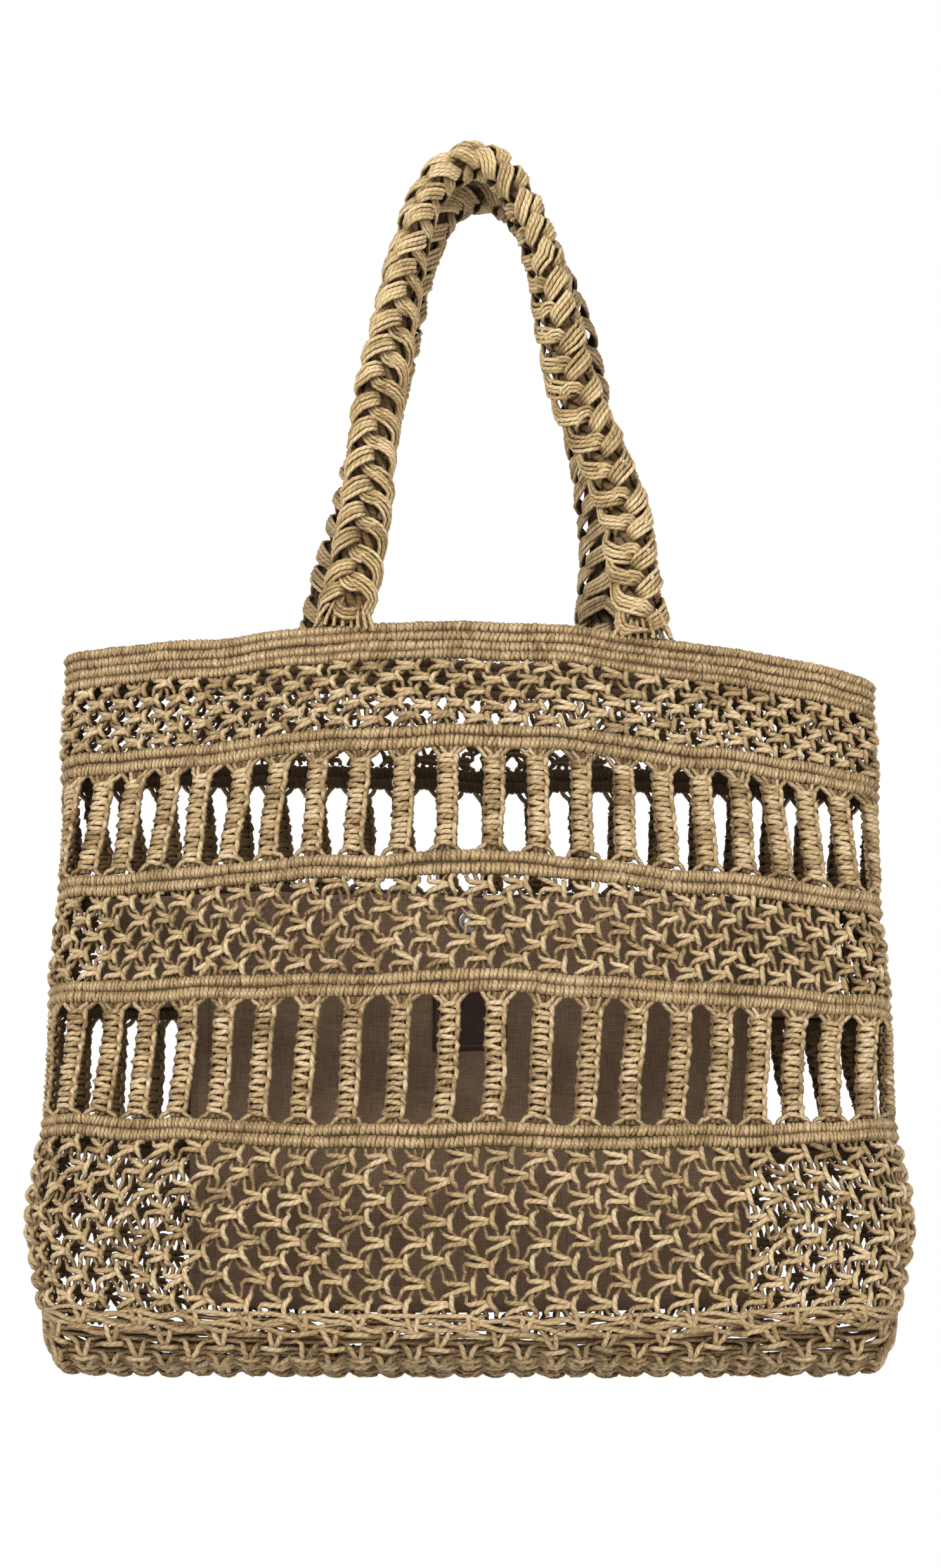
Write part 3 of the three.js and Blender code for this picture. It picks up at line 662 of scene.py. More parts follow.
def ribbed(name, ribs, diameter, seed, wave):
    """A belt of ribs, with a cord in painted deep shade behind each gap between two of them."""
    cords = Cords()
    top, bottom = BELTS[name]
    pitch = (bottom - top) / ribs
    for i in range(ribs):
        depth = top + (i + 0.5) * pitch
        add_rib(cords, depth, diameter, seed + i, wave)
        if i:
            # Painted shade: a dark cord stands for the shade deep in the gap
            behind = wall(np.linspace(0, 1, 241), depth - pitch / 2, 0)
            cords.tubes(behind[None], 1.5, 4, 0.25)
    cords.object(name + "_ribs", JUTE, "jute", name)


ribbed("rim", 4, RIM_RIB + 0.2, 100, 0.6)
for number in range(1, 5):
    ribbed("band_%d" % number, 2, BAND_RIB, 200 + 10 * number, 0.8)


# Nets: alternating square knots. One knot's cords on a pitch of 20 mm by 10.4 mm, as x along the
# wall to the right, y outwards and z up. Each leaves it for the knots beside it, above and below.
PITCH_X = 20.0
PITCH_Z = 10.4
KNOT = [
    # upper bar, out of the outer leg on the left
    (8, 5, [(-7.1, -0.2, 4.8), (-6.3, 0.6, 3.2), (-4.2, 1.9, 2.1), (-1.2, 2.7, 1.7), (2.0, 2.5, 1.0),
            (4.2, 1.6, 0.4), (5.8, -0.4, 0.2)]),
    # lower bar, which curls down into the leg on the left
    (9, 5, [(5.8, -0.4, -0.6), (4.0, 1.8, -0.5), (1.4, 2.8, -1.0), (-1.8, 2.7, -1.6), (-4.8, 1.7, -2.0),
            (-7.3, 0.7, -3.1), (-7.6, -0.2, -5.0)]),
    # upright bump over their ends
    (8, 5, [(7.1, -0.2, 4.8), (6.6, 1.0, 4.1), (5.7, 2.9, 2.6), (5.4, 3.6, 0.2), (5.8, 2.8, -2.2),
            (6.8, 0.8, -3.9), (7.6, -0.2, -5.0)]),
    # fillers
    (5, 4, [(-2.4, -0.3, 5.4), (-1.5, 0.1, 2.8), (-1.0, 0.1, 0.0), (-1.6, 0.1, -2.8),
            (-2.9, -0.3, -5.4)]),
    (5, 4, [(2.4, -0.3, 5.4), (1.5, 0.1, 2.8), (1.0, 0.1, 0.0), (1.6, 0.1, -2.8),
            (2.9, -0.3, -5.4)]),
    # bars behind
    (3, 4, [(-5.0, -0.6, 2.0), (0.0, -2.5, 1.5), (5.2, -0.6, 0.8)]),
    (3, 4, [(-5.2, -0.6, -1.9), (0.0, -2.5, -1.5), (5.2, -0.6, -0.8)]),
]


def lattice(rows, columns):
    """The level of each knot of a net and its share of the way along its row. Every other row
    lies half a knot further on."""
    row, column = np.divmod(np.arange(rows * columns), columns)
    return row + 0.5, (column + 0.25 + (row % 2) / 2) / columns


def knot_cords(cords, a, b, place, tall=1.0, proud=1.0):
    """Adds the knots at a and b, laid by place(a, b, x, z, out). Every knot is turned, moved and
    stretched a little, and its ends stay where the next knot's are."""
    count = len(a)
    turned = rng.normal(0, 0.17, (count, 1))
    shift = rng.normal(0, 0.6, (count, 1, 2))
    stretch = rng.normal(1.0, 0.06, (count, 1))
    for samples, sides, points in KNOT:
        control = copies(points, count)
        inner = control[:, 1:-1]
        x, z = inner[..., 0].copy(), inner[..., 2].copy()
        inner[..., 0] = (x * np.cos(turned) - z * np.sin(turned)) * stretch + shift[..., 0]
        inner[..., 2] = (x * np.sin(turned) * 0.8 + z * np.cos(turned)) * stretch + shift[..., 1]
        inner += rng.normal(0, 0.24, inner.shape)
        line = spline(control, samples)
        x, out, z = (line[..., i] for i in range(3))
        paths = place(a[:, None], b[:, None], x, z * tall, out * proud)
        radius = NET_CORD * (0.82 + 0.28 * smoothstep(out, -0.5, 2.2))
        # Painted shade on the parts of each knot that lie further in
        cords.tubes(paths, radius, sides, 0.5 + 0.5 * smoothstep(out, -1.6, 2.6))


def warp(turn, depth, top, bottom, seed):
    """A wander of the net in its own plane that fades out at the belt's two edges."""
    local = np.random.default_rng(seed)
    fade = np.clip((depth - top) / 8, 0, 1) * np.clip((bottom - depth) / 8, 0, 1)
    moved = [np.zeros_like(turn), np.zeros_like(turn)]
    for waves, tall in ((5, 0.02), (11, 0.06), (19, 0.09), (31, 0.12)):
        for axis, sign in enumerate((1, -1)):
            phase = 2 * np.pi * (waves * turn + local.uniform()) + sign * tall * depth
            moved[axis] += np.sin(phase) / waves**0.5
    return moved[0] * fade * 1.7, moved[1] * fade * 1.5


def net(name, columns, rows, seed):
    """A belt of knotted net."""
    top, bottom = BELTS[name]
    step = (bottom - top) / rows
    cords = Cords()
    row, a = lattice(rows, columns)

    def place(a, b, x, z, out):
        turn = a + x / (PITCH_X * columns)
        depth = b - z
        dx, dz = warp(turn, depth, top, bottom, seed)
        return wall(turn + dx / (PITCH_X * columns), depth + dz, out)

    knot_cords(cords, a, top + row * step, place, step / PITCH_Z)
    cords.object(name + "_knots", JUTE, "jute", name)


net("net_upper", 56, 5, 1)
net("net_middle", 56, 5, 2)
net("net_lower", 54, 8, 3)


# Base: the same net turned under, with a line of strands along each fold
BASE_HEIGHT = 23.0
BASE_CORNER = 24.0
BASE_HALF = float(section_at(EDGE)[0])
# The middle of the net lies this much inside the base's outer form
FOLD_INSET = 2.5
# The run along the quarter ellipse of a fold at each of its angles
_angles = np.linspace(0, np.pi / 2, 91)
_corner = np.stack([BASE_CORNER * (1 - np.cos(_angles)), BASE_HEIGHT * np.sin(_angles)], -1)
_run = running(np.linalg.norm(np.diff(_corner, axis=0), axis=1))
CORNER_RUN = _run[-1]
# The base's ends curve up within this much of its length, over this much of its surface
BASE_END = 14.0
END_RUN = 27.0
BASE_REACH = BASE_HALF - BASE_END + END_RUN
# Painted shade: the base's cords are painted a little darker than the walls'
BASE_PAINTED_SHADE = 0.84


def base_surface(length, share, out):
    """A point of the base at a length along its surface from the body's middle, and a share of
    the way from the front edge down, under and up to the back edge."""
    length, share, out = matched(length, share, out)
    level = np.minimum(np.abs(length), BASE_HALF - BASE_END)
    climb = np.clip((np.abs(length) - level) / END_RUN, 0, 1) * np.pi / 2
    x = np.sign(length) * (level + BASE_END * np.sin(climb))
    section = section_at(np.full(x.shape, EDGE))
    width, depth, side, end = (section[..., i] for i in range(4))
    reach = np.minimum(np.abs(x), width - 0.5)
    straight = width - end
    cap = np.sqrt(np.clip(1 - ((reach - straight) / end) ** 2, 0, 1))
    half = np.where(reach > straight, side * cap, side + (depth - side) * arch(reach / straight))
    squeeze = np.minimum(1.0, half / (BASE_CORNER + 4))
    total = 2 * CORNER_RUN * squeeze + 2 * (half - BASE_CORNER * squeeze)
    run = np.clip(share, 0, 1) * total
    mirrored = run > total / 2
    run = np.where(mirrored, total - run, run)
    angle = np.interp(run / squeeze, _run, _angles)
    flat = np.maximum(run - CORNER_RUN * squeeze, 0)
    corner = (BASE_CORNER - FOLD_INSET) * squeeze
    y = -half + corner * (1 - np.cos(angle)) + flat - out * np.cos(angle)
    hang = hang_at(section, x)
    drop = (BASE_HEIGHT - FOLD_INSET - hang) * np.cos(climb) * np.sin(angle)
    z = -RIM_TO_HOOK - EDGE - hang - drop - out * np.sin(angle)
    return np.stack([x - BODY_TO_HOOK, np.where(mirrored, -y, y), z], -1)


def base():
    """Knots that lie on their sides, with their bumps towards the back."""
    cords = Cords()
    local = np.random.default_rng(41)
    columns, rows = 7, 33
    pitch = 2 * BASE_REACH / rows
    row, b = lattice(rows, columns)

    def place(a, b, x, z, out):
        along = np.clip(a + z * pitch / PITCH_Z, 1 - BASE_REACH, BASE_REACH - 1)
        return base_surface(along, b + x / PITCH_X / columns, out)

    knot_cords(cords, row * pitch - BASE_REACH, b, place, proud=0.8)

    # cords behind the knots, in painted shade
    x = np.linspace(2 - BASE_REACH, BASE_REACH - 2, 80)
    for lane in range(2 * columns):
        for number in (-1, 1):
            phase = local.uniform(0, 6, 2)
            at = (lane + 0.5 + 0.22 * number) / columns / 2 + 0.004 * np.sin(x / 12 + phase[0])
            line = base_surface(x, at, -0.9 + 0.6 * np.sin(x / 9 + phase[1]))
            cords.tubes(line[None], CORD, 4, 0.75)

    # the line of strands along each fold
    x = np.linspace(2 - BASE_REACH, BASE_REACH - 2, 180)
    for side in (0, 1):
        for number, share in enumerate((0.004, 0.028, 0.05, 0.072)):
            phase = number * 2.1 + side
            at = share + 0.013 * np.sin(x / 5.5 + phase) + 0.009 * np.sin(x / 17 + phase)
            at = np.clip(at + 0.008 * np.sin(x / 41 + side), 0, 1)
            at = np.where(side, 1 - at, at)
            line = base_surface(x, at, 1.2 + 1.1 * np.sin(x / 5.5 + phase + 1.5))
            cords.tubes(line[None], NET_CORD, 5)
    # Painted shade over all of the base
    cords.shades = [BASE_PAINTED_SHADE * shade for shade in cords.shades]
    cords.object("base_knots", JUTE, "jute", "base")


base()


# Sennits: upright cords of square knots, with a fan of cords at the head of each and short legs at
# its foot. A knot's points are x to the right, y outwards and a share of the knot's height.
SENNIT_KNOT = [
    # two bars and the turn between them on the left
    (9, 5, [(3.6, 0.9, 0.86), (1.5, 2.3, 0.80), (-1.8, 2.2, 0.76), (-4.3, 1.2, 0.66),
            (-5.0, 0.3, 0.48), (-4.2, 1.3, 0.30), (-1.8, 2.3, 0.26), (1.5, 2.4, 0.20),
            (3.8, 0.8, 0.12)]),
    # upright bump on the right
    (5, 5, [(4.0, -0.6, 1.06), (4.7, 1.4, 0.86), (4.6, 2.1, 0.52), (4.7, 1.4, 0.16),
            (4.0, -0.6, -0.04)]),
    # the same two on the reverse
    (5, 4, [(-3.6, -0.9, 0.86), (0.0, -2.4, 0.80), (4.0, -1.3, 0.66), (4.2, -1.3, 0.34),
            (0.0, -2.4, 0.24), (-3.8, -0.9, 0.12)]),
    (4, 4, [(-4.0, 0.4, 1.02), (-4.5, -1.7, 0.72), (-4.5, -1.7, 0.3), (-4.0, 0.4, 0.0)]),
]
# Depth of the head and height of the foot, and the cords that leave them on each side, as x, y and
# the depth below the head's or the foot's level
HEAD = 4.2
FOOT = 2.6
HEAD_FAN = [
    [(2.6, 0.9, 3.5), (4.6, 1.5, 0.4), (7.6, 0.6, -3.0), (9.4, -0.6, -5.4)],
    [(0.8, 1.6, 2.6), (2.0, 2.0, 0.2), (3.9, 1.0, -2.6), (4.8, -0.6, -5.4)],
]
FOOT_LEG = [(3.0, 1.2, -1.6), (5.2, 1.2, 0.2), (7.4, 0.4, 1.6), (8.6, -0.6, 3.5)]


def sennit_row(name, knots, lean_left, lean_right, seed):
    """A row of sennits round the bag, each a little bent, and leaning as said at the two ends."""
    top, bottom = BELTS[name]
    middle = (top + bottom) / 2
    height = bottom - top
    step = (height - HEAD - FOOT) / knots
    cords = Cords()
    local = np.random.default_rng(seed)
    bend = local.normal(0, 0.7, (SENNITS, 3))
    sennit = np.arange(SENNITS)[:, None]

    def place(which, x, depth, out):
        a = (which + 0.5) / SENNITS
        lean = lean_right + (lean_left - lean_right) * (1 + np.cos(2 * np.pi * a)) / 2
        share = (middle - depth) / height
        shape = np.cos(np.pi * np.clip(share, -0.5, 0.5))
        sway = bend[which, 0] * shape + bend[which, 1] * np.sin(2 * np.pi * share) * 0.6
        turn = a + turn_of(lean * SENNIT_LEAN, a, middle) * share
        turn = turn + turn_of(x + sway, a, middle)
        return wall(turn, depth, out + 0.5 * bend[which, 2] * shape)

    which = np.repeat(sennit, knots, 0)
    level = np.tile(top + HEAD + (np.arange(knots) + 1) * step, SENNITS)[:, None]
    for samples, sides, points in SENNIT_KNOT:
        control = copies(points, len(which))
        inner = control[:, 1:-1]
        for axis, size in enumerate((0.4, 0.25, 0.045)):
            inner[..., axis] += local.normal(0, size, inner.shape[:2])
        x, out, up = np.moveaxis(spline(control, samples), -1, 0)
        paths = place(which, x, level - up * step, out)
        # Painted shade on the parts of each knot that lie low
        shade = 0.5 + 0.5 * smoothstep(np.abs(out), 0.6, 2.2)
        cords.tubes(paths, CORD * 1.3, sides, shade)

    # core, in painted shade
    depth = np.linspace(top, bottom, 9)
    for side in (-1.4, 1.4):
        paths = place(sennit, side, depth, 0.0)
        cords.tubes(paths, 1.8, 4, 0.5)

    # fans and legs, in light painted shade
    fans = [(top + HEAD, HEAD_FAN[0]), (top + HEAD, HEAD_FAN[1]), (bottom - FOOT, FOOT_LEG)]
    for side in (-1, 1):
        for level, fan in fans:
            control = copies(fan, SENNITS) * (side, 1, 1) + (0, 0, level)
            control[:, 1:3] += local.normal(0, 0.45, (SENNITS, 2, 3))
            x, out, depth = np.moveaxis(spline(control, 6), -1, 0)
            cords.tubes(place(sennit, x, depth, out), CORD * 1.15, 4, 0.9)
    cords.object(name + "_knots", JUTE, "jute", name)


sennit_row("sennits_upper", 9, 1.0, -0.65, 21)
sennit_row("sennits_lower", 9, 0.2, 0.9, 22)


# Handles: chains of loops, each in bundles of three or four strands. A handle's curve has points
# across, as a share of the reach, and up, as a share of the rise from the rim.
FRONT_HANDLE = [
    (-0.71, 0), (-0.64, 0.12), (-0.58, 0.29), (-0.53, 0.46), (-0.44, 0.63), (-0.36, 0.79),
    (-0.27, 0.9), (-0.13, 0.975), (0.04, 1), (0.18, 0.975), (0.3, 0.91), (0.42, 0.8),
    (0.51, 0.66), (0.6, 0.51), (0.76, 0.37), (0.89, 0.25), (0.92, 0.15), (0.98, 0),
]
BACK_HANDLE = [
    (-0.88, 0), (-0.83, 0.1), (-0.72, 0.24), (-0.63, 0.37), (-0.53, 0.53), (-0.42, 0.68),
    (-0.32, 0.81), (-0.24, 0.9), (-0.12, 0.975), (0.05, 1), (0.22, 0.985), (0.35, 0.93),
    (0.48, 0.84), (0.59, 0.73), (0.66, 0.61), (0.71, 0.47), (0.77, 0.33), (0.79, 0.2),
    (0.75, 0),
]
STITCH = 17.0
STRAND = 1.27
# Bundles of one stitch on the strap's oval: each point is a turn round the oval in degrees, from
# the inner edge over the open face, a share of the stitch along the strap, and how proud it lies.
# Before them come the number of strands, their spacing, the sides of each and its samples.
BUNDLES = [
    # the long loose arc up the inner edge, which ends in the middle over the next one's start
    (4, 2.55, 6, 10, [(38, -0.12, -2.6), (32, 0.14, -0.8), (29, 0.46, 1.0), (34, 0.82, 2.0),
                      (50, 1.1, 2.2), (74, 1.28, 1.3), (98, 1.4, -0.8), (116, 1.44, -4.0)]),
    # the tight slanting bump on the outer edge
    (4, 2.6, 6, 9, [(200, -0.12, -4.0), (196, 0.06, 0.2), (178, 0.28, 2.0), (154, 0.54, 2.5),
                    (130, 0.76, 2.1), (112, 0.9, 0.2), (104, 0.94, -3.6)]),
    # the small arc between them
    (3, 2.5, 5, 7, [(134, 0.74, -3.4), (116, 0.4, -0.4), (92, 0.26, 0.4), (66, 0.38, -0.1),
                    (46, 0.62, -3.0)]),
    # the two slanting bundles of the reverse
    (4, 2.2, 5, 8, [(176, 1.0, -2.6), (200, 0.84, 0.6), (232, 0.58, 1.7), (260, 0.32, 1.2),
                    (282, 0.12, -2.6)]),
    (4, 2.2, 5, 8, [(4, 1.0, -2.6), (-20, 0.84, 0.6), (-52, 0.58, 1.7), (-80, 0.32, 1.2),
                    (-102, 0.12, -2.6)]),
]


# How far bundles stray as a whole and at each point, first in degrees round the oval and then in
# shares of a stitch along the strap, and how far each point strays outwards
BUNDLE_SWAY = ((5.0, 2.0), (0.05, 0.02))
BUNDLE_LIFT = 0.25
# How far the strap turns round its run down its legs, and how much further at its feet, in degrees
LEG_TURN = 62
FOOT_TURN = 28
CORE_STRANDS = 6
# Strands at a foot: their spread across and through the strap at five points on their way up, and
# how closely they keep to the rim's top edge there
FOOT_STRANDS = 16
FOOT_ACROSS = np.array([1.3, 1.22, 1.05, 0.93, 0.8])
FOOT_THROUGH = np.array([0.75, 1.0, 1.05, 0.95, 0.6])
FOOT_FOLLOW = np.array([1.0, 1.0, 0.3, 0.0, 0.0])


def dense_curve(points, count):
    """A centripetal curve through points, sampled evenly by length."""
    full = np.vstack([2 * points[0] - points[1], points, 2 * points[-1] - points[-2]])
    made = []
    for i in range(1, len(full) - 2):
        p0, p1, p2, p3 = full[i - 1:i + 3]
        t1 = np.linalg.norm(p1 - p0) ** 0.5
        t2 = t1 + np.linalg.norm(p2 - p1) ** 0.5
        t3 = t2 + np.linalg.norm(p3 - p2) ** 0.5
        t = np.linspace(t1, t2, 30, endpoint=i == len(full) - 3)[:, None]
        a1 = (t1 - t) / t1 * p0 + t / t1 * p1
        a2 = (t2 - t) / (t2 - t1) * p1 + (t - t1) / (t2 - t1) * p2
        a3 = (t3 - t) / (t3 - t2) * p2 + (t - t2) / (t3 - t2) * p3
        b1 = (t2 - t) / t2 * a1 + t / t2 * a2
        b2 = (t3 - t) / (t3 - t1) * a2 + (t - t1) / (t3 - t1) * a3
        made.append((t2 - t) / (t2 - t1) * b1 + (t - t1) / (t2 - t1) * b2)
    line = np.vstack(made)
    run = running(np.linalg.norm(np.diff(line, axis=0), axis=1))
    even = np.linspace(0, run[-1], count)
    return np.stack([np.interp(even, run, line[:, i]) for i in range(3)], -1), run[-1]


def rim_edge(x, side):
    """The y and z of the rim's top edge at x from the middle, on the front or the back side."""
    point = wall(front_turn(x, 0.0), 0.0, 0.0)
    return side * np.abs(point[..., 1]), point[..., 2]


def handle(name, table, side, seed, material):
    """One handle on its curve, on the front side at -1 or the back side at 1."""
    feet = []
    for across, _ in (table[0], table[-1]):
        y, z = rim_edge(across * HANDLE_REACH, side)
        feet.append(np.array([y, z + 0.3]))
    apex = np.array([side * STRAP_SPACING / 2, (STRAP_THICKNESS - side * HOOK_RISE) / 2])
    peak = [up for _, up in table].index(1)
    points = []
    for i, (across, up) in enumerate(table):
        foot = feet[0 if i < peak else 1]
        points.append([across * HANDLE_REACH - BODY_TO_HOOK, *(foot + (apex - foot) * up)])
    line, length = dense_curve(np.array(points), 1201)
    tangent = unit(np.gradient(line, axis=0))
    share = np.linspace(0, 1, len(line))
    legs = 1 - smoothstep(line[:, 2], -RIM_TO_HOOK / 2, 0)
    ankles = 1 - smoothstep(line[:, 2] + RIM_TO_HOOK, 0, 70)
    turned = LEG_TURN * legs + FOOT_TURN * ankles
    angle = np.radians(90 - side * np.sign(share - 0.5) * turned)
    across = np.stack([np.cos(angle), np.sin(angle), np.zeros_like(angle)], -1)
    across = square_to(across, tangent)
    face = -np.cross(tangent, across)

    def place(x, y, z):
        """A point x across, y towards the open face and z along the strap."""
        at = np.clip(z / length, 0, 1) * (len(line) - 1)
        i = np.minimum(at.astype(int), len(line) - 2)
        f = (at - i)[..., None]
        centre = line[i] * (1 - f) + line[i + 1] * f
        return centre + x[..., None] * across[i] + y[..., None] * face[i]

    local = np.random.default_rng(seed)
    stitches = int(round((length - 4) / STITCH))
    pitch = (length - 4) / stitches
    each = np.arange(stitches)
    wide, thick = STRAP_WIDTH / 2 - 1.9, STRAP_THICKNESS / 2 - 1.7

    def on_oval(turn, along, proud):
        x = (wide + proud) * np.cos(turn)
        y = (thick + proud) * np.sin(turn)
        return place(x, y, np.clip(along, 1.0, length - 1.0))

    cords = Cords()
    for strands, spacing, sides, samples, points in BUNDLES:
        control = copies(points, stitches)
        for axis, (whole, point) in enumerate(BUNDLE_SWAY):
            sway = local.normal(0, whole, (stitches, 1)) + local.normal(0, point, control.shape[:2])
            control[..., axis] += sway
        control[..., 2] += local.normal(0, BUNDLE_LIFT, control.shape[:2])
        bundle = spline(control, samples)
        turn = np.radians(bundle[..., 0])
        along = (bundle[..., 1] + each[:, None]) * pitch
        flat = np.stack([wide * turn, along], -1)
        ahead = unit(np.gradient(flat, axis=1))
        for strand in range(strands):
            middle = strand - (strands - 1) / 2
            aside = middle * spacing * (1 + local.normal(0, 0.09, (stitches, 1)))
            aside = aside * (0.72 + 0.28 * np.sin(np.linspace(0, np.pi, samples)))
            lift = -0.12 * abs(middle) ** 1.6 + local.normal(0, 0.16, (stitches, samples))
            lift += local.normal(0, 0.3, (stitches, 1))
            strand_turn = turn - ahead[..., 1] * aside / wide
            strand_along = along + ahead[..., 0] * aside
            proud = bundle[..., 2] + lift
            paths = on_oval(strand_turn, strand_along, proud)
            outward = unit(paths - place(0 * proud, 0 * proud, strand_along))
            # Painted shade on the strands that lie low, deepest on their sides
            shade = 0.45 + 0.55 * smoothstep(proud, -2.6, 1.2)
            cords.tubes(paths, STRAND, sides, shade, outward, dark=0.2)

    # core strands, in deep painted shade
    run = np.linspace(0.5, length - 0.5, 3 * stitches)
    for number in range(CORE_STRANDS):
        turn = 2 * np.pi * number / CORE_STRANDS + 2 * np.pi * run / 60
        path = place(0.56 * wide * np.cos(turn), 0.3 * thick * np.sin(turn), run)
        cords.tubes(path[None], 2.8, 6, 0.34)

    # strands that spread out over the rim at the feet, in light painted shade
    for (foot_y, foot_z), end, sign in ((feet[0], 0.0, 1), (feet[1], length, -1)):
        for number in range(FOOT_STRANDS):
            x = (number - (FOOT_STRANDS - 1) / 2) * 1.8 + local.normal(0, 0.4)
            y = (1 if number % 2 else -1) * local.uniform(3.0, 7.0)
            reach = local.uniform(7, 15)
            z = np.array([-2.4, 1.0, 0.45 * reach, 0.8 * reach, reach])
            low = place(x * FOOT_ACROSS, y * FOOT_THROUGH, end + sign * np.maximum(z, 0.4))
            low[:, 2] += np.minimum(z, 0)
            edge_y, edge_z = rim_edge(low[:, 0] + BODY_TO_HOOK, side)
            low[:, 1] += FOOT_FOLLOW * (edge_y - foot_y)
            low[:, 2] += FOOT_FOLLOW * (edge_z - foot_z)
            cords.tubes(spline(low[None], 8), CORD, 5, 0.8)
    cords.object(name + "_chain", material, "handle_jute", name)


handle("handle_front", FRONT_HANDLE, -1, 31, HANDLE_FRONT)
handle("handle_back", BACK_HANDLE, 1, 32, HANDLE_BACK_SHADED)


# Canvas: a strip along the inside of the back, the pouch on it, the patch and the snap


def sheet_mesh(name, outer, inner, material, closed=False):
    """A thick sheet from two grids of points, with UVs in millimetres."""
    rows, columns, _ = outer.shape
    verts = np.concatenate([outer.reshape(-1, 3), inner.reshape(-1, 3)])
    index = np.arange(rows * columns).reshape(rows, columns)
    if closed:
        index = np.concatenate([index, index[:, :1]], 1)
    a, b, c, d = index[:-1, :-1], index[:-1, 1:], index[1:, 1:], index[1:, :-1]
    front = np.stack([a, b, c, d], -1).reshape(-1, 4)
    back = front[:, ::-1] + rows * columns
    rim = [index[0], index[-1][::-1]]
    if not closed:
        rim += [index[:, 0][::-1], index[:, -1]]
    edges = []
    for line in rim:
        p, q = line[:-1], line[1:]
        edges.append(np.stack([q, p, p + rows * columns, q + rows * columns], -1))
    quads = np.concatenate([front, back, *edges])
    u = running(np.linalg.norm(np.diff(outer, axis=1), axis=-1).mean(0))
    v = running(np.linalg.norm(np.diff(outer, axis=0), axis=-1).mean(1))
    uv = np.stack(np.meshgrid(u, v), -1).reshape(-1, 2)
    uv = np.concatenate([uv, uv])
    return quad_mesh(name, verts * MM, quads, uv[quads].reshape(-1, 2), material)


def back_turn(x, depth):
    """The turn at which the back wall is x from the body's middle."""
    return 1 - front_turn(x, depth)


def back_grid(xs, depths, out):
    """Points of the back wall at x from the middle and depth, with an offset from the wall."""
    return np.array([wall(back_turn(xs, depth), depth, row) for depth, row in zip(depths, out)])


def ripple(xs, depths, seed, size, across=60.0, down=90.0):
    """Soft folds over a sheet."""
    local = np.random.default_rng(seed)
    x, d = np.meshgrid(xs, depths)
    total = np.zeros_like(x)
    for _ in range(7):
        kx = local.normal(0, 2 * np.pi / across)
        kd = local.normal(0, 2 * np.pi / down)
        total += np.sin(kx * x + kd * d + local.uniform(0, 6.3))
    return size * total / 7**0.5


def strip():
    xs = np.linspace(-STRIP_WIDTH / 2, STRIP_WIDTH / 2, 71)
    depths = np.linspace(STRIP_TOP, STRIP_BOTTOM, 16)
    out = STRIP_OUT + ripple(xs, depths, 41, 0.25) - 0.25
    hem = np.where(np.minimum(depths - depths[0], depths[-1] - depths) < 7, 0.45, 0.0)[:, None]
    outer = back_grid(xs, depths, out)
    inner = back_grid(xs, depths, out - CANVAS - hem)
    made = sheet_mesh("canvas_strip", inner, outer, CANVAS_BROWN)
    return settle(made, ["pouch_strip"])


def gape(x, depth):
    """The distance between the pouch's two leaves."""
    across = np.clip(1 - np.abs(2 * x / POUCH_WIDTH) ** 4, 0, 1)
    down = np.clip(1 - ((depth - STRIP_TOP) / (POUCH_FOOT - STRIP_TOP)) ** 3, 0, 1)
    return POUCH_EDGE + (POUCH_GAPE - POUCH_EDGE) * across * down


POUCH_XS = np.linspace(-POUCH_WIDTH / 2, POUCH_WIDTH / 2, 49)
POUCH_FOOT = STRIP_TOP + POUCH_HEIGHT + POUCH_SINK
POUCH_DEPTHS = np.linspace(STRIP_TOP, POUCH_FOOT, 36)


def leaf_out(xs, depths):
    """The offset of the pouch's front leaf from the back wall."""
    x, d = np.meshgrid(xs, depths)
    fade = np.clip((POUCH_WIDTH / 2 - np.abs(x)) / 25, 0, 1)
    fade = fade * np.clip((POUCH_DEPTHS[-1] - d) / 25, 0, 1)
    folds = ripple(xs, depths, 43, 0.9, 70, 160) + ripple(xs, depths, 44, 0.5, 28, 60)
    tuck = 1.2 * np.exp(-(((d - STRIP_TOP - 34) / 3.0) ** 2)) * np.clip(1 - np.abs(x) / 150, 0, 1)
    return POUCH_OUT - gape(x, d) + fade * (folds + tuck) + 0.2


def pouch():
    """The two leaves, closed at their sides and thicker at the hem of the mouth."""
    front = leaf_out(POUCH_XS, POUCH_DEPTHS)
    back = np.full_like(front, POUCH_OUT)
    thick = CANVAS + np.where(POUCH_DEPTHS - POUCH_DEPTHS[0] < 12, 0.6, 0.0)[:, None]

    def faces(front, back):
        front, back = (back_grid(POUCH_XS, POUCH_DEPTHS, out) for out in (front, back))
        return np.concatenate([front, back[:, ::-1]], 1)

    outer, inner = faces(front, back), faces(front + thick, back - thick)
    made = sheet_mesh("pouch_canvas", outer, inner, CANVAS_BROWN, closed=True)
    return settle(made, ["pouch"])


def leaf(x, depth, lift):
    """A point on the pouch's front leaf, lifted off it."""
    x, depth = matched(x, depth)
    made = []
    for one_x, one_depth in zip(x.reshape(-1), depth.reshape(-1)):
        out = leaf_out(np.array([one_x]), np.array([one_depth]))[0, 0]
        made.append(wall(back_turn(one_x, one_depth), one_depth, out - lift))
    return np.array(made).reshape(*x.shape, 3)


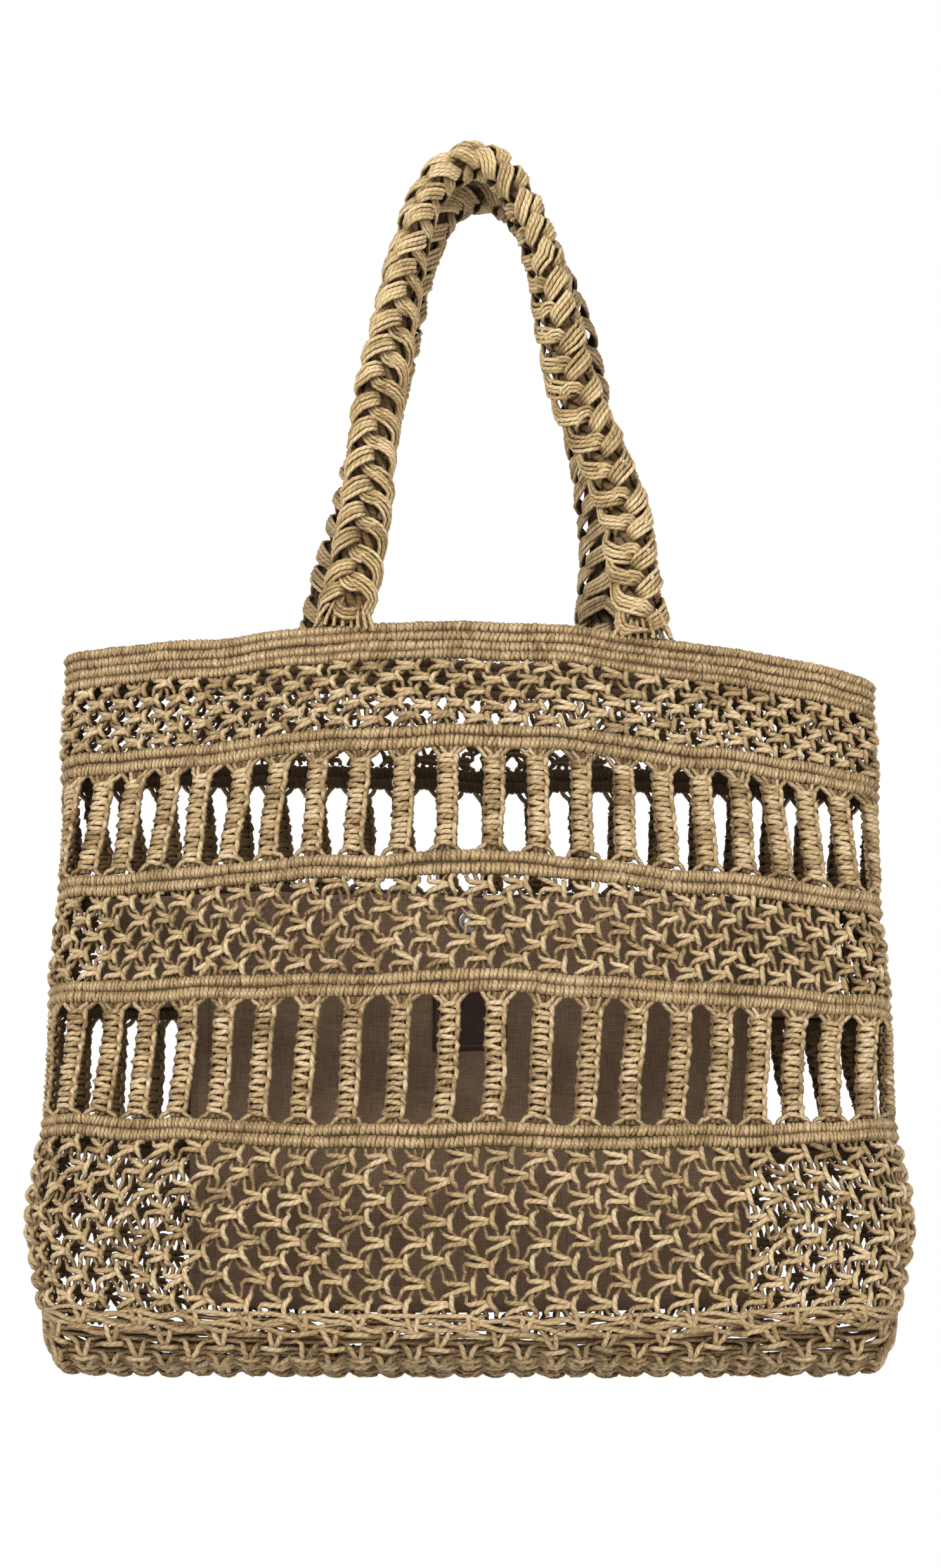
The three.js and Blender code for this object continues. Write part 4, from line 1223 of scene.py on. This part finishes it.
def stitches():
    """Rows of thread stitches along the pouch's hem, sides and foot."""
    cords = Cords()
    half = POUCH_WIDTH / 2
    pitch = 1.75
    across = np.arange(-half + 5, half - 4, pitch)
    down = np.arange(STRIP_TOP + 4, POUCH_FOOT - 2, pitch)
    runs = [(across, STRIP_TOP + drop) for drop in (3.0, 10.5)]
    runs += [(side * (half - inset), down) for side in (-1, 1) for inset in (3.0, 9.0)]
    runs.append((across, POUCH_FOOT - 4.0))
    for x, depth in runs:
        laid = leaf(x, depth, 0.05)
        a, b = laid[:-1:2], laid[1::2]
        middle = (a + b) / 2 + np.array([0.0, -0.35, 0.0])
        cords.tubes(np.stack([a, middle, b], 1), 0.34, 4)
    return cords.object("pouch_stitches", THREAD, "canvas")


# How far the patch's stitches lie inside its edge
PATCH_SEAM = 2.6


def patch():
    """The bare patch, with a sunk seam just inside its edge, where its line of stitches lies."""
    xs = np.linspace(-LABEL_WIDTH / 2, LABEL_WIDTH / 2, 23)
    depths = STRIP_TOP + LABEL_DROP + np.linspace(0, LABEL_HEIGHT, 21)
    x, d = np.meshgrid(xs, depths)
    edge = np.minimum(LABEL_WIDTH / 2 - np.abs(x), LABEL_HEIGHT / 2 - np.abs(d - depths.mean()))
    crown = 0.45 * np.clip(edge / 4, 0, 1) ** 0.5
    groove = -0.35 * np.exp(-(((edge - PATCH_SEAM) / 0.8) ** 2))
    outer = leaf(x, d, 0.0) + np.array([0.0, -1.0, 0.0]) * (0.95 + crown + groove)[..., None]
    inner = leaf(x, d, 0.1)
    made = sheet_mesh("label_patch", outer, inner, LEATHER)
    return settle(made, ["label"])


def patch_stitches():
    """The thread in the patch's seam, one stitch after the other round its four sides."""
    cords = Cords()
    cx, cz = LABEL_WIDTH / 2 - PATCH_SEAM, LABEL_HEIGHT / 2 - PATCH_SEAM
    middle = STRIP_TOP + LABEL_DROP + LABEL_HEIGHT / 2
    corners = [(-cx, -cz), (cx, -cz), (cx, cz), (-cx, cz), (-cx, -cz)]
    laid = []
    for (x0, z0), (x1, z1) in zip(corners[:-1], corners[1:]):
        count = int(math.hypot(x1 - x0, z1 - z0) / 2.4)
        share = (np.arange(count)[:, None] + np.array([0.15, 0.5, 0.85])) / count
        points = leaf(x0 + (x1 - x0) * share, middle + z0 + (z1 - z0) * share, 0.0)
        points[..., 1] -= np.array([1.35, 1.6, 1.35])
        laid.append(points)
    cords.tubes(np.concatenate(laid), 0.3, 4)
    return cords.object("patch_stitches", THREAD, "canvas")


def snap():
    """A round snap: a domed cap with a rolled rim round a sunk middle."""
    profile = [
        (0.0, 1.35), (1.6, 1.3), (2.5, 1.1), (2.9, 0.9), (3.3, 1.0), (3.9, 1.75), (4.7, 2.15),
        (5.6, 2.2), (6.3, 1.9), (6.8, 1.3), (7.0, 0.6), (6.9, 0.0),
    ]
    depth = STRIP_TOP + SNAP_DROP
    seat, low, high = (leaf(0.0, depth + down, 0.1) for down in (0, 7, -7))
    rise = unit(high - low)
    outward = unit(np.cross(rise, np.array([1.0, 0.0, 0.0])))
    if outward[1] > 0:
        outward = -outward
    right = np.cross(rise, outward)
    sides = 40
    angle = np.linspace(0, 2 * np.pi, sides, endpoint=False)
    circle = np.cos(angle)[:, None] * right + np.sin(angle)[:, None] * rise
    rings = np.array([seat + circle * max(radius, 0.01) + outward * lift for radius, lift in profile])
    cords = Cords()
    run = np.array([radius for radius, _ in profile])[None, :]
    cords.add(rings[None], run, np.linspace(0, 1, sides + 1), [0.5])
    return cords.object("snap_cap", NICKEL, "snap_metal", "snap")


strip_piece = strip()
pouch_piece = pouch()
stitch_piece = stitches()
patch_piece = patch()
patch_thread = patch_stitches()
snap_piece = snap()


# Floor, light and camera


def plane(name, size, z):
    """A level floor that glows a little, so that it stays light to its far edge."""
    mesh = bpy.data.meshes.new(name)
    s = size / 2
    mesh.from_pydata([(-s, -s, z), (s, -s, z), (s, s, z), (-s, s, z)], [], [(0, 1, 2, 3)])
    n = Nodes(name + "_paint")
    mottle = n.noise(n.place(), 6.0, 4.0)
    mesh.materials.append(n.finish(
        Base_Color=n.ramp(mottle, [(0.3, (0.78, 0.78, 0.77)), (0.7, (0.84, 0.84, 0.83))]),
        Roughness=0.9,
        Emission_Color=(0.95, 0.95, 0.94),
        Emission_Strength=0.25,
    ))
    in_scene(name, mesh)


plane("floor", 36.0, -1.55)


def aimed(name, data, place, target):
    """A light or a camera at a place, turned to its target."""
    made = in_scene(name, data)
    made.location = place
    made.rotation_euler = (Vector(target) - Vector(place)).to_track_quat("-Z", "Y").to_euler()
    return made


def area_light(name, place, target, size, power, colour):
    light = bpy.data.lights.new(name, "AREA")
    light.shape = "RECTANGLE"
    light.size = light.size_y = size
    light.energy = power
    light.color = colour
    aimed(name, light, place, target)


area_light("key", (-1.3, -2.3, 0.9), (0, 0, -0.4), 1.4, 72, (1.0, 0.985, 0.96))
area_light("fill", (1.9, -2.1, -0.2), (0, 0, -0.4), 1.6, 34, (1.0, 0.99, 0.97))
area_light("top", (0.1, 0.3, 1.7), (0, 0, -0.3), 1.6, 22, (1.0, 1.0, 1.0))
area_light("back", (0.8, 2.6, 0.5), (0, 0, -0.4), 1.8, 50, (1.0, 0.99, 0.97))

world = bpy.data.worlds.new("studio")
bpy.context.scene.world = world
world.use_nodes = True
tree = world.node_tree
# Dim light all round, and a white that only the camera sees
mix = tree.nodes.new("ShaderNodeMixShader")
backgrounds = (tree.nodes["Background"], 0.26), (tree.nodes.new("ShaderNodeBackground"), 1.0)
for i, (background, strength) in enumerate(backgrounds):
    background.inputs["Color"].default_value = (1, 1, 1, 1)
    background.inputs["Strength"].default_value = strength
    tree.links.new(background.outputs[0], mix.inputs[i + 1])
path = tree.nodes.new("ShaderNodeLightPath")
tree.links.new(path.outputs["Is Camera Ray"], mix.inputs[0])
tree.links.new(mix.outputs[0], tree.nodes["World Output"].inputs["Surface"])

bpy.context.scene.view_settings.view_transform = "Standard"

TARGET = Vector((-0.0065, 0.0, -0.3576))
DISTANCE = 2.3
TILT = math.radians(13.5)
camera_data = bpy.data.cameras.new("camera")
camera_data.sensor_fit = "VERTICAL"
camera_data.sensor_height = 36.0
camera_data.lens = 93.0
camera_data.clip_end = 50
eye = TARGET + Vector((0, -math.cos(TILT), -math.sin(TILT))) * DISTANCE
bpy.context.scene.camera = aimed("camera", camera_data, eye, TARGET)
